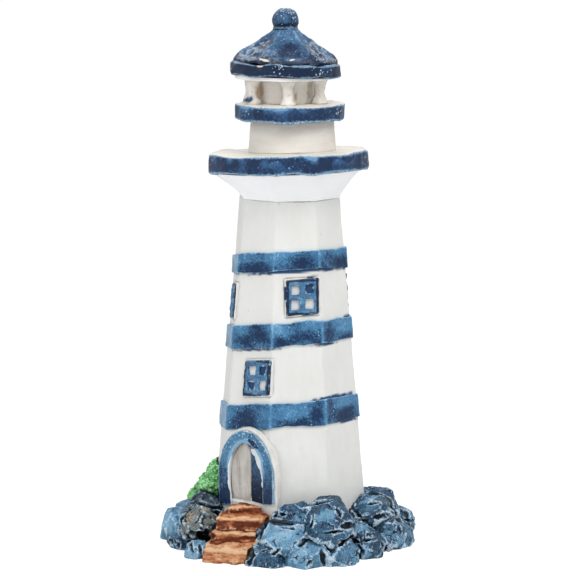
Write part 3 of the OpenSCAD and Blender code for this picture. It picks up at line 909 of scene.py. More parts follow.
@dataclass(frozen=True)
class Paint:
    """Base of the finishes: a paint that knows how to dress a material.

    Attributes:
        roughness: Roughness on the whole.
        uneven: How far the roughness strays from that.
        bump: Height of the brush marks and grains, in millimetres.
        gloss: Specular level.
    """

    roughness: float = 0.6
    uneven: float = 0.12
    bump: float = 0.05
    gloss: float = 0.22

    def material(self, slot: Slot) -> bpy.types.Material:
        """Makes the material of a slot.

        Args:
            slot: The slot that is painted.

        Returns:
            The material.
        """
        made = bpy.data.materials.new(slot.value)
        made.use_nodes = True
        made.node_tree.nodes.clear()
        graph = Graph(made.node_tree)
        metres = graph.add("ShaderNodeTexCoord").outputs["Object"]
        graph.place = graph.scaled(metres, (1 / METRES,) * 3)
        height = self.coat(graph)
        shader = graph.add("ShaderNodeBsdfPrincipled", {"Base Color": graph.body})
        shader.inputs["Specular IOR Level"].default_value = self.gloss
        stray = graph.times(graph.noise(0.7, 3), 2 * self.uneven)
        graph.feed(shader.inputs["Roughness"], graph.plus(stray, self.roughness - self.uneven))
        depth = {"Height": height, "Distance": self.bump * METRES, "Strength": 1.0}
        graph.feed(shader.inputs["Normal"], graph.add("ShaderNodeBump", depth).outputs[0])
        end = graph.add("ShaderNodeOutputMaterial")
        graph.feed(end.inputs["Surface"], shader.outputs[0])
        return made

    def coat(self, graph: Graph) -> Socket:
        """Lays the paint, and gives the height for the bump."""
        raise NotImplementedError


@dataclass(frozen=True)
class RockPaint(Paint):
    """Slate blue, dry-brushed with light blue on the ridges, and near black in the creases as dark
    paint and painted shade.

    Attributes:
        deep: Colour of the dark clouds in the paint.
        middle: Colour of the rest.
        pale: Colour of a pale rock or patch.
        brushed: Colour of the brush marks on ridges.
        bare: Colour of the sharpest ridges.
        crease_shade: Colour of cracks and gaps: dark paint, and painted shade in the gaps and under the
            rocks.
        moss: Colour of the mossy rock.
        rust: Colour of rusty spots.
        tan: Colour of the sandy patches.
    """

    roughness: float = 0.5
    bump: float = 0.1
    gloss: float = 0.3
    deep: Colour = paint(18, 42, 64)
    middle: Colour = paint(42, 84, 116)
    pale: Colour = paint(95, 144, 176)
    brushed: Colour = paint(148, 187, 213)
    bare: Colour = paint(214, 230, 242)
    crease_shade: Colour = paint(6, 14, 26)
    moss: Colour = paint(102, 106, 100)
    rust: Colour = paint(120, 80, 58)
    tan: Colour = paint(164, 144, 118)

    def coat(self, graph: Graph) -> Socket:
        """Lays the paint.

        Args:
            graph: Where the nodes go.

        Returns:
            The height for the bump.
        """
        earth = graph.reading("earth")
        cloud = graph.noise(0.45, 4, 0.6)
        grit = graph.noise(3.2, 4, 0.65)
        graph.body = graph.mix(graph.ease(cloud, 0.34, 0.66), self.deep, self.middle)
        lift = graph.plus(graph.reading("tone"), graph.minus(cloud, 0.5))
        lift = graph.plus(lift, graph.times(graph.reading("pale"), 0.8))
        graph.lay(self.deep, graph.ease(lift, 0.05, -0.6))
        graph.lay(self.pale, graph.ease(lift, 0.15, 0.9))
        graph.lay(self.brushed, graph.ease(lift, 0.8, 1.6), 0.75)
        graph.lay(self.moss, graph.ease(earth, 0.2, 0.8))
        rust = graph.plus(graph.reading("rust"), graph.times(grit, 0.5))
        graph.lay(self.rust, graph.ease(rust, 0.6, 0.9))
        graph.lay(self.tan, graph.reading("tan"), graph.ease(grit, 0.4, 0.6))
        share = graph.minus(0.6, graph.times(earth, 0.35))
        graph.lay(self.brushed, graph.rubbed(1.6, 1.0, 0.44), share)
        graph.lay(self.bare, graph.rubbed(3.0, 1.6, 0.1), 0.75)
        graph.lay(self.deep, graph.ease(grit, 0.5, 0.34), 0.6)
        graph.lay(self.brushed, graph.ease(grit, 0.52, 0.7), 0.45)
        # Near black in hollows, joints and marked hollows: dark paint, and painted shade between and
        # under the rocks.
        wash_shade = graph.math("MULTIPLY", graph.wash_and_shade(), 1.45, clamp=True)
        hidden = graph.most(wash_shade, graph.reading("dark"))
        graph.lay(self.crease_shade, hidden, 0.94)
        return grit


@dataclass(frozen=True)
class GroundPaint(Paint):
    """Near-black blue between the rocks.

    Attributes:
        dark: Colour on the whole.
        light: Colour of its clouds.
    """

    bump: float = 0.1
    dark: Colour = paint(16, 26, 38)
    light: Colour = paint(52, 74, 96)

    def coat(self, graph: Graph) -> Socket:
        """Lays the paint.

        Args:
            graph: Where the nodes go.

        Returns:
            The height for the bump.
        """
        cloud = graph.noise(0.9, 4, 0.6)
        graph.body = graph.mix(graph.ease(cloud, 0.45, 0.7), self.dark, self.light)
        return cloud


@dataclass(frozen=True)
class LeafPaint(Paint):
    """Bright green leaves over dark green hollows.

    Attributes:
        shade: Colour of the dark clouds in the paint.
        leaf: Colour of the leaves.
        tip: Colour of their tips.
        hole: Colour of the hollows, dark paint with painted shade between the leaves.
    """

    roughness: float = 0.5
    bump: float = 0.08
    shade: Colour = paint(50, 120, 60)
    leaf: Colour = paint(112, 188, 114)
    tip: Colour = paint(178, 230, 176)
    hole: Colour = paint(16, 44, 28)

    def coat(self, graph: Graph) -> Socket:
        """Lays the paint.

        Args:
            graph: Where the nodes go.

        Returns:
            The height for the bump.
        """
        cloud = graph.noise(1.3, 3)
        graph.body = graph.mix(graph.ease(cloud, 0.3, 0.62), self.shade, self.leaf)
        graph.lay(self.tip, graph.rubbed(2.2, 0.8, 0.5), 0.8)
        # Dark green in the hollows: dark paint, and painted shade between the leaves.
        graph.lay(self.hole, graph.wash_and_shade(0.95), 0.92)
        return cloud


@dataclass(frozen=True)
class SandPaint(Paint):
    """Sandy treads over orange fronts, with rust brown in the creases; the tone it reads carries
    painted light and shade, and the creases painted shade too.

    Attributes:
        cream: Colour of the lightest places and edges.
        sand: Colour of light places.
        orange: Colour of shaded places.
        rust: Colour of the darkest places.
        crease_shade: Colour of cracks and gaps, with painted shade.
    """

    roughness: float = 0.55
    bump: float = 0.12
    cream: Colour = paint(220, 182, 145)
    sand: Colour = paint(190, 135, 95)
    orange: Colour = paint(156, 88, 50)
    rust: Colour = paint(98, 44, 22)
    crease_shade: Colour = paint(36, 22, 22)

    def coat(self, graph: Graph) -> Socket:
        """Lays the paint.

        Args:
            graph: Where the nodes go.

        Returns:
            The height for the bump.
        """
        cloud = graph.noise(0.75, 4, 0.62, squeeze=(1, 1, 2.6))
        grit = graph.noise(2.6, 4, 0.65)
        light = graph.plus(graph.reading("tone"), graph.times(graph.minus(cloud, 0.5), 1.9))
        graph.body = graph.mix(graph.ease(light, 0.0, 0.35), self.rust, self.orange)
        graph.lay(self.sand, graph.ease(light, 0.32, 0.72))
        graph.lay(self.cream, graph.ease(light, 0.7, 1.15))
        graph.lay(self.cream, graph.rubbed(1.8, 0.9, 0.5), 0.7)
        # Rust and near black in hollows and joints: dark paint, and painted shade.
        wash_shade = graph.wash_and_shade()
        graph.lay(self.rust, graph.ease(wash_shade, 0.0, 0.6), 0.8)
        graph.lay(self.crease_shade, graph.ease(wash_shade, 0.7, 1.0), 0.8)
        return grit


@dataclass(frozen=True)
class WhitePaint(Paint):
    """Matt white or cream paint, brushed one way, greyed in the joints by stains and painted shade.

    Attributes:
        body: Colour of the paint.
        shade: Colour of its thin places.
        stain_and_shade: Colour of stains, and of painted shade in the joints.
        drip_and_shadow: Colour of blue paint that has run over it, and of the painted shadow lines
            beside the bands.
        strokes: How far the brush marks are squeezed along each axis.
        stained_and_shaded: How far the joints are greyed by stains and painted shade.
    """

    roughness: float = 0.62
    bump: float = 0.04
    body: Colour = paint(227, 228, 225)
    shade: Colour = paint(222, 222, 218)
    stain_and_shade: Colour = paint(168, 160, 148)
    drip_and_shadow: Colour = paint(44, 76, 116)
    strokes: Squeeze = (1.0, 1.0, 0.22)
    stained_and_shaded: float = 0.5

    def coat(self, graph: Graph) -> Socket:
        """Lays the paint.

        Args:
            graph: Where the nodes go.

        Returns:
            The height for the bump.
        """
        brush = graph.effect("brush_strokes", self.strokes, Scale=0.55)
        cloud = graph.noise(0.16, 3, 0.55)
        thin = graph.times(graph.plus(brush["Tone"], graph.ease(cloud, 0.35, 0.7)), 0.5)
        graph.body = graph.mix(thin, self.body, self.shade)
        # Grey in hollows and joints: stains, and painted shade.
        graph.lay(self.stain_and_shade, graph.wash_and_shade(), self.stained_and_shaded)
        # Marked stains, and the painted shadow under the corbel.
        graph.lay(self.stain_and_shade, graph.reading("stained_and_shaded"), graph.ease(cloud, 0.3, 0.5))
        pits = graph.specks(0.62, 0.07, 0.13)
        graph.lay(self.stain_and_shade, pits, 0.35)
        # Blue runs, and painted shadow lines beside the bands.
        graph.lay(self.drip_and_shadow, graph.reading("dripped_and_shadow"))
        return graph.minus(brush["Height"], graph.times(pits, 0.5))


@dataclass(frozen=True)
class BluePaint(Paint):
    """Blue paint over white, mottled and speckled, and rubbed pale along its edges; its navy also
    carries painted shade, and its pale places painted light.

    Attributes:
        navy: Colour where the paint lies heavy, and of painted shade.
        blue: Colour where it is thinner.
        light: Colour of the rubbed edges.
        bare: Colour where the casting shows.
        scuff_and_rim_light: Colour of scuffs, and of the painted rim light on the bands' left faces.
        fleck: Colour of the pale specks where they crowd, which also paint rim light at the decks'
            ends.
        thickness: Share of heavy paint, 0 to 1.
        rubbed: How much of the ridges is rubbed.
        specked: Share of cells that have a pale speck.
    """

    roughness: float = 0.42
    bump: float = 0.08
    gloss: float = 0.24
    navy: Colour = paint(12, 42, 78)
    blue: Colour = paint(72, 126, 168)
    light: Colour = paint(136, 182, 212)
    bare: Colour = paint(226, 233, 236)
    scuff_and_rim_light: Colour = paint(168, 176, 184)
    fleck: Colour = paint(216, 229, 238)
    thickness: float = 0.5
    rubbed: float = 0.5
    specked: float = 0.2

    def coat(self, graph: Graph) -> Socket:
        """Lays the paint.

        Args:
            graph: Where the nodes go.

        Returns:
            The height for the bump.
        """
        crowd = graph.reading("specked")
        cloud = graph.noise(0.22, 2, 0.5)
        mottle = graph.noise(1.1, 3, 0.6)
        grain = graph.noise(2.5, 3, 0.7)
        thin = graph.plus(graph.times(cloud, 0.3), graph.times(mottle, 0.25))
        thin = graph.plus(thin, graph.times(grain, 0.45))
        # Darker where the paint lies heavy, and as painted shade where the piece marks it.
        thin = graph.minus(thin, graph.times(graph.minus(graph.reading("thick_and_shaded"), 0.4), 0.17))
        thin = graph.plus(thin, graph.times(graph.reading("pale"), 0.2))
        level = 0.34 + 0.24 * self.thickness
        graph.body = graph.mix(graph.ease(thin, level - 0.1, level + 0.14), self.navy, self.blue)
        graph.lay(self.light, graph.ease(thin, level + 0.12, level + 0.3), 0.8)
        graph.lay(self.light, graph.rubbed(1.5, 0.9, self.rubbed), 0.75)
        graph.lay(self.bare, graph.rubbed(2.8, 1.3, self.rubbed - 0.36), 0.85)
        fine = graph.specks(1.5, self.specked, 0.3)
        coarse = graph.specks(0.9, 0.5 * self.specked, 0.22)
        # Specks crowd where marked: paint specks, and painted rim light at the decks' ends.
        here = graph.ease(graph.plus(cloud, graph.times(crowd, 0.3)), 0.5, 0.62)
        thrown = graph.times(graph.specks(1.7, 0.6, 0.3), graph.ease(crowd, 0.3, 0.8))
        spots = graph.most(graph.times(graph.most(fine, coarse), here), thrown)
        speck = graph.mix(graph.times(crowd, 0.7), self.light, self.fleck)
        graph.lay(speck, spots, 0.75)
        # Scuffs, and painted rim light on the bands' left faces.
        graph.lay(self.scuff_and_rim_light, graph.reading("scuffed_and_rim_lit"), graph.ease(grain, 0.35, 0.6))
        # Navy in hollows and joints: dark paint, and painted shade.
        graph.lay(self.navy, graph.wash_and_shade(), 0.8)
        graph.lay(self.bare, graph.ease(graph.reading("bare"), 0.35, 0.6))
        return graph.plus(grain, graph.times(spots, 0.3))


@dataclass(frozen=True)
class DeckPaint(BluePaint):
    """Blue on the rim of a deck and cream on its top.

    Attributes:
        cream: Colour of the top.
        shade: Colour of its brush marks.
    """

    cream: Colour = paint(224, 220, 209)
    shade: Colour = paint(212, 206, 194)

    def coat(self, graph: Graph) -> Socket:
        """Lays the paint.

        Args:
            graph: Where the nodes go.

        Returns:
            The height for the bump.
        """
        height = super().coat(graph)
        brush = graph.effect("brush_strokes", (0.25, 1, 1), Scale=0.7)
        top = graph.mix(brush["Tone"], self.cream, self.shade)
        ragged = graph.times(graph.minus(graph.noise(1.2, 3), 0.5), 0.5)
        flat = graph.minus(graph.reading("top"), graph.reading("dripped_and_shadow"))
        graph.lay(top, graph.ease(graph.plus(flat, ragged), 0.62, 0.74))
        return height


@dataclass(frozen=True)
class LeafWhitePaint(WhitePaint):
    """Grey-white door paint with an upright brown streak, and a painted shadow over its shoulder.

    Attributes:
        streak: Colour of the streak.
        recess: Painted shadow in the recess over the leaf's shoulder.
    """

    streak: Colour = paint(134, 120, 102)
    recess: Colour = paint(24, 36, 66)

    def coat(self, graph: Graph) -> Socket:
        """Lays the paint.

        Args:
            graph: Where the nodes go.

        Returns:
            The height for the bump.
        """
        height = super().coat(graph)
        ragged = graph.noise(1.0, 3, squeeze=(2.5, 2.5, 0.3))
        run = graph.times(graph.reading("streak"), graph.ease(ragged, 0.3, 0.62))
        graph.lay(self.streak, run, 0.8)
        # Painted shadow over the shoulder.
        graph.lay(self.recess, graph.reading("dark"))
        return height


PAINTS: dict[Slot, Paint] = {
    Slot.GROUND: GroundPaint(),
    Slot.ROCK: RockPaint(),
    Slot.BUSH: LeafPaint(),
    Slot.STEP: SandPaint(),
    Slot.WALL: WhitePaint(),
    Slot.PORCH: WhitePaint(body=paint(230, 228, 225), shade=paint(206, 203, 198)),
    # Painted light: the corbel and the lantern ceiling take a brighter white than the wall, for the
    # light thrown up from the table onto their undersides.
    Slot.CORBEL: WhitePaint(body=paint(255, 255, 255), shade=paint(250, 251, 254), stained_and_shaded=0.0),
    Slot.CASING: WhitePaint(body=paint(232, 232, 230), shade=paint(216, 215, 212), stained_and_shaded=0.2),
    Slot.LEAF_WHITE: LeafWhitePaint(body=paint(210, 207, 202), shade=paint(172, 167, 160), stained_and_shaded=0.6),
    Slot.ROOM: WhitePaint(
        body=paint(234, 230, 224), shade=paint(222, 217, 210), stain_and_shade=paint(178, 154, 116),
        strokes=(0.3, 0.3, 1.4), stained_and_shaded=0.45,
    ),
    Slot.BAND: BluePaint(thickness=0.52, rubbed=0.4, specked=0.45),
    Slot.ARCH: BluePaint(
        navy=paint(20, 46, 80), blue=paint(80, 130, 166),
        thickness=0.58, rubbed=0.58, specked=0.5,
    ),
    Slot.LEAF_BLUE: BluePaint(navy=paint(12, 28, 52), blue=paint(56, 92, 126), thickness=0.68),
    Slot.SASH: BluePaint(navy=paint(16, 38, 68), blue=paint(76, 122, 160), thickness=0.5, rubbed=0.42),
    Slot.DECK: DeckPaint(
        navy=paint(22, 44, 76), blue=paint(54, 92, 134), light=paint(120, 164, 200),
        thickness=0.96, rubbed=0.56,
    ),
    Slot.ROOF: BluePaint(
        navy=paint(14, 34, 62), blue=paint(56, 96, 134), light=paint(128, 164, 192),
        bare=paint(214, 206, 192), thickness=0.8, rubbed=0.46, specked=0.55,
    ),
}


# The bench on which pieces are finished


class Bench:
    """Holds the CAD nodes and turns finished skins into dressed pieces.

    Args:
        nodes: CAD nodes by name.
    """

    def __init__(self, nodes: dict[str, bpy.types.Object]) -> None:
        """Keeps the nodes, builds the shared effects and mixes the paints."""
        self.nodes = nodes
        build_effects()
        self.materials = {slot: finish.material(slot) for slot, finish in PAINTS.items()}
        self.triangles = 0

    def cast(self, node: str, grain: float) -> Skin:
        """Covers a copy of a CAD node with one even skin, as a casting has.

        Args:
            node: Name of the node.
            grain: Width of one face of the skin.

        Returns:
            The skin.
        """
        shape = bmesh.new()
        shape.from_mesh(self.nodes[node].data)
        bmesh.ops.scale(shape, vec=(1 / METRES,) * 3, verts=shape.verts)
        bmesh.ops.remove_doubles(shape, verts=shape.verts, dist=0.0005)
        mesh = mesh_of(shape, "blank")
        blank = bpy.data.objects.new("blank", mesh)
        bpy.context.scene.collection.objects.link(blank)
        cover = blank.modifiers.new("cover", "REMESH")
        cover.mode = "VOXEL"
        cover.voxel_size = grain
        cover.adaptivity = 0
        depsgraph = bpy.context.evaluated_depsgraph_get()
        made = bpy.data.meshes.new_from_object(blank.evaluated_get(depsgraph))
        bpy.data.objects.remove(blank)
        bpy.data.meshes.remove(mesh)
        return Skin(made)

    def tree(self, names: Sequence[str]) -> BVHTree:
        """Gathers the faces of CAD nodes.

        Args:
            names: Names of the nodes.

        Returns:
            A tree of the faces.
        """
        points: list[Vector] = []
        faces: list[tuple[int, ...]] = []
        for name in names:
            mesh = self.nodes[name].data
            first = len(points)
            points += [vert.co / METRES for vert in mesh.vertices]
            faces += [tuple(first + k for k in face.vertices) for face in mesh.polygons]
        return BVHTree.FromPolygons(points, faces)

    def around(self, node: str, reach: float) -> BVHTree:
        """Gathers the pieces that lie near one.

        Args:
            node: The piece in the middle.
            reach: Distance in millimetres at which a piece no longer counts.

        Returns:
            A tree of their faces.
        """
        low, high = (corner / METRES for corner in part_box(node))
        names = []
        for name in self.nodes:
            start, end = (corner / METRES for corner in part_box(name))
            apart = any(start[k] > high[k] + reach or end[k] < low[k] - reach for k in range(3))
            if name != node and not apart:
                names.append(name)
        return self.tree(names)

    def finish(self, skin: Skin, node: str, slot: Slot) -> None:
        """Scales a skin to metres, paints it and puts it in the place of its node.

        Args:
            skin: The finished surface.
            node: The node it stands for.
            slot: The slot its paint comes from.
        """
        skin.points[:, 2] = np.maximum(skin.points[:, 2], 0)
        skin.points *= METRES
        skin.write()
        mesh = skin.mesh
        mesh.shade_smooth()
        mesh.materials.append(self.materials[slot])
        piece = bpy.data.objects.new("painted_" + node, mesh)
        bpy.context.scene.collection.objects.link(piece)
        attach(piece, "root")
        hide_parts(node)
        count = sum(len(face.vertices) - 2 for face in mesh.polygons)
        self.triangles += count
        LOG.info("%s: %d triangles", piece.name, count)


# Sub-assemblies


@dataclass(frozen=True)
class Stone:
    """How one rock is shaped and painted.

    Attributes:
        tone: How pale it is, from about -1 to 1.
        rough: How broken its faces are, next to the others.
        across: Stretch from the viewer's left to the right.
        up: Stretch upwards.
        climb: How steeply its top rises towards the viewer's right.
        gloom: Share of near black over it.
        earth: How mossy it is, from 0 to 1.
    """

    tone: float = 0.2
    rough: float = 1.0
    across: float = 1.0
    up: float = 1.0
    climb: float = 0.0
    gloom: float = 0.0
    earth: float = 0.0

    def shape(self, skin: Skin) -> None:
        """Stretches and tips the rock.

        Args:
            skin: The rock's skin.
        """
        right = toward(VIEWER_RIGHT)
        aside = (skin.points - skin.points.mean(axis=0)) @ right
        height = skin.points[:, 2] - skin.points[:, 2].min()
        upper = ease(height, 0.2 * height.max(), 0.8 * height.max())
        skin.points += np.outer((self.across - 1) * aside, right)
        skin.points[:, 2] += (self.up - 1) * height + self.climb * aside * upper


STONES = {
    "shore_rock_02": Stone(tone=0.6, rough=0.45),
    "shore_rock_03": Stone(tone=0.7, rough=0.4),
    "shore_rock_04": Stone(tone=0.3, rough=0.6),
    "shore_rock_05": Stone(tone=0.5, rough=0.6, up=0.8),
    "shore_rock_06": Stone(tone=0.1),
    "shore_rock_07": Stone(tone=0.9, rough=0.45, across=1.08),
    "shore_rock_08": Stone(tone=0.75, rough=0.6),
    "shore_rock_09": Stone(tone=0.4),
    "ledge_rock_01": Stone(rough=1.7, up=0.94, earth=1.0),
    "ledge_rock_02": Stone(tone=-1.0, rough=1.5, up=0.86, gloom=0.5),
    "ledge_rock_03": Stone(tone=-0.2, rough=0.8, across=1.16, climb=0.3),
    "ledge_rock_04": Stone(tone=0.1, rough=0.7, across=1.16, up=1.13),
    "ledge_rock_05": Stone(tone=0.15, rough=0.7, across=1.08),
    "ledge_rock_07": Stone(tone=0.0, rough=0.8),
}


def dress_deck(skin: Skin, radius: float, seed: int, load: float = 0.5) -> None:
    """Gives a deck its wandering rim and what its paint reads.

    Args:
        skin: The deck's surface.
        radius: Radius of its rim.
        seed: Sets it apart from the others.
        load: How much paint its rim carries.
    """
    rim = ease(np.linalg.norm(skin.points[:, :2], axis=1), radius - 3, radius - 1)
    skin.keep_ridges_and_hollows(0.08, 0.26)
    upper = ease(skin.points[:, 2], np.median(skin.points[:, 2]), skin.points[:, 2].max())
    waver = 0.36 * skin.lumps(4.6, seed) + 0.15 * skin.lumps(1.5, seed + 1) - 0.05
    skin.press(waver * rim)
    skin.points[:, 2] += 0.4 * skin.lumps(5, seed + 3) * rim
    skin.press(0.04 * skin.lumps(2.2, seed + 2))
    skin.keep("top", skin.normals(2)[:, 2].clip(0, 1))
    worn = ease(skin.lumps(3.2, seed + 6), -0.1, 0.35)
    skin.keep("pale", (2.3 - load) * worn * upper * rim)
    skin.keep("thick_and_shaded", load * (1 - worn) + load - 0.5)
    # Pale specks, and painted rim light at the ends of the decks.
    skin.keep("specked", skin.marked(SPECKS_AND_RIM_LIGHT, seed))
    skin.keep("bare", skin.marked(CHIPS, seed))
    skin.keep("dripped_and_shadow", skin.marked(DRIPS, seed) * rim)


@dataclass
class Assembly:
    """Base of the sub-assemblies.

    Attributes:
        bench: Where their pieces are finished.
    """

    bench: Bench

    def build(self) -> None:
        """Makes the pieces."""
        raise NotImplementedError


@dataclass
class RockHeap(Assembly):
    """The rocks round the foot of the tower, and the dark bed they lie on.

    Attributes:
        grain: Width of a face of a rock's skin.
        bed_grain: Width of a face of the bed's skin.
        joint: Distance from its neighbours at which a rock's joint ends.
        gap: Distance at which a rock still swells towards them.
        planes: Number of flat faces hewn on a rock.
        plump: How far a rock is swollen before it is hewn.
        facet_size: Width of the broken facets on them.
        facet_depth: How far those stand out or sink in.
        facet_reach: The most that they may sink in and stand out.
        chip_size: Width of the small chips.
        chip_depth: Depth of the chips.
        crack_size: Distance between cracks.
        crack_depth: Depth of the cracks.
        pit_depth: Depth of the dark hollows.
        swell: How far a rock swells over the joint with its neighbour.
    """

    grain: float = 0.26
    bed_grain: float = 0.6
    joint: float = 0.8
    gap: float = 2.4
    planes: int = 15
    plump: float = 0.45
    facet_size: float = 2.9
    facet_depth: float = 0.8
    facet_reach: tuple[float, float] = (-0.6, 0.5)
    chip_size: float = 1.15
    chip_depth: float = 0.24
    crack_size: float = 2.8
    crack_depth: float = 0.35
    pit_depth: float = 1.1
    swell: float = 0.8

    def build(self) -> None:
        """Makes the bed and every rock."""
        bed = self.bench.cast("base_slab", self.bed_grain)
        bed.press(0.5 * bed.lumps(2.2, 3) - 0.15)
        self.bench.finish(bed, "base_slab", Slot.GROUND)
        rocks = sorted(name for name in self.bench.nodes if "rock" in name)
        for seed, name in enumerate(rocks, 1):
            self.rock(name, seed)

    def hew(self, skin: Skin, free: np.ndarray, seed: int) -> np.ndarray:
        """Cuts flat faces on a rock.

        Args:
            skin: The rock.
            free: How far each point may be cut, from 0 to 1.
            seed: Sets it apart from the others.

        Returns:
            A number from -1 to 1 for each point, the same over one face.
        """
        chance = np.random.default_rng(seed)
        middle = skin.points.mean(axis=0)
        tones = np.zeros(len(skin.points))
        for _ in range(self.planes):
            way = chance.normal(size=3)
            way[2] = abs(way[2]) if way[2] < -0.4 else way[2]
            way /= np.linalg.norm(way)
            heights = (skin.points - middle) @ way
            over = np.clip(heights - heights.max() * chance.uniform(0.64, 0.88), 0, None) * free
            skin.points -= np.outer(0.92 * over, way)
            tones = np.where(over > 0.03, chance.uniform(-1, 1), tones)
        return tones

    def rock(self, name: str, seed: int) -> None:
        """Makes one rock.

        Args:
            name: Its CAD node.
            seed: Sets it apart from the others.
        """
        stone = STONES.get(name, Stone())
        skin = self.bench.cast(name, self.grain)
        others = self.bench.around(name, self.gap)
        near = skin.nearness(others, self.joint)
        beside = skin.nearness(others, self.gap) * (1 - skin.facing(others, self.gap))
        free = 1 - near
        stone.shape(skin)
        skin.press(self.plump * free, 6)
        cuts = self.hew(skin, free, seed)
        facets = skin.sample(self.facet_size, seed, facet)
        heights = stone.rough * self.facet_depth * (facets[:, 0] - 0.02)
        skin.press(np.clip(heights, *self.facet_reach) * (1 - 0.7 * near), 4)
        skin.press(self.swell * beside, 6)
        chips = skin.sample(self.chip_size, seed + 40, facet)
        cracks = skin.sample(self.crack_size, seed + 60, crack)
        cracks *= ease(np.array(stone.rough), 0.3, 0.9)
        # The marked hollows sink in and take painted shade.
        dark = skin.marked(HOLLOWS, seed)
        grit = 0.07 * skin.lumps(0.6, seed + 80)
        small = stone.rough * self.chip_depth * chips[:, 0]
        skin.press((small - self.crack_depth * cracks) * free + grit, 3)
        skin.press(-self.pit_depth * dark, 8)
        skin.keep_ridges_and_hollows(0.07, 0.34)
        skin.keep("near", near)
        skin.keep("dark", np.maximum(np.maximum(dark, stone.gloom), 0.8 * cracks * free))
        # Paler paint and painted highlights on the marked patches.
        skin.keep("pale", skin.marked(PALE_PATCHES, seed + 5))
        skin.keep("tone", stone.tone + 0.22 * cuts + 0.4 * facets[:, 1])
        skin.keep("earth", np.full(len(skin.points), stone.earth))
        skin.keep("rust", np.clip(skin.lumps(2.5, seed + 11) - 0.4, 0, 1))
        skin.keep("tan", skin.marked(TAN_PATCHES, seed))
        self.bench.finish(skin, name, Slot.ROCK)


@dataclass
class Bush(Assembly):
    """The leafy clump on the left of the tower.

    Attributes:
        grain: Width of a face of its skin.
        leaf_size: Distance between leaves.
        leaf_height: How far a leaf stands out.
        hole_depth: Depth of the dark holes between leaves.
    """

    grain: float = 0.2
    leaf_size: float = 1.25
    leaf_height: float = 0.55
    hole_depth: float = 0.7

    def build(self) -> None:
        """Makes the clump."""
        skin = self.bench.cast("bush", self.grain)
        near = skin.nearness(self.bench.around("bush", 0.8), 0.8)
        skin.smooth(6)
        stray = 0.5 * skin.normals() * skin.lumps(1.5, 7)[:, None]
        leaves = sample(skin.points + stray, self.leaf_size, 5, knob)
        uneven = 0.75 + 0.9 * skin.lumps(2.2, 12)
        skin.press(self.leaf_height * (leaves[:, 0] - 0.6) * uneven, 8)
        leaflets = skin.sample(0.55 * self.leaf_size, 9, knob)
        skin.press(0.4 * self.leaf_height * (leaflets[:, 0] - 0.6), 6)
        skin.press(-self.hole_depth * (leaves[:, 1] > 0.72) * leaves[:, 0].clip(0, 1), 8)
        skin.press(0.16 * skin.lumps(0.6, 6) + 0.5 * skin.lumps(3.4, 16))
        skin.smooth(1)
        skin.keep_ridges_and_hollows(0.09, 0.4)
        skin.keep("near", near)
        self.bench.finish(skin, "bush", Slot.BUSH)


@dataclass(frozen=True)
class Tread:
    """One step of the stair.

    Attributes:
        node: Its CAD node.
        level: Height of its top.
        front: Distance from the tower's axis to its nosing.
        turn: Turn of the nosing.
        shift: Shift of the nosing's middle to the right.
        run: Depth of the top that shows.
        slope: How steeply its worn top rises towards the door.
        paleness: How much of its front is sandy, from 0 to 1.
        flare: How far its foot stands out before the nosing.
        sunny: How light its top is at the nosing.
    """

    node: str
    level: float
    front: float
    turn: float
    shift: float
    run: float
    slope: float
    paleness: float
    flare: float
    sunny: float

    def behind(self, points: np.ndarray) -> np.ndarray:
        """Distance of each point behind the nosing."""
        out = toward(self.turn)
        return self.shift * out[0] - self.front * out[1] - points @ out


TREADS = (
    Tread(
        "lower_step", level=3.1, front=26.887, turn=23, shift=2.75,
        run=3.0, slope=0.42, paleness=0.7, flare=0.6, sunny=0.95,
    ),
    Tread(
        "middle_step", level=6.2, front=23.887, turn=34, shift=2.7,
        run=1.8, slope=0.36, paleness=0.0, flare=0.5, sunny=0.75,
    ),
    Tread(
        "upper_step", level=9.3, front=22.287, turn=30, shift=3.2,
        run=2.1, slope=0.42, paleness=0.0, flare=0.3, sunny=0.7,
    ),
    Tread(
        "landing", level=11.4, front=20.187, turn=40, shift=2.6,
        run=2.0, slope=0.0, paleness=0.1, flare=0.0, sunny=0.45,
    ),
)


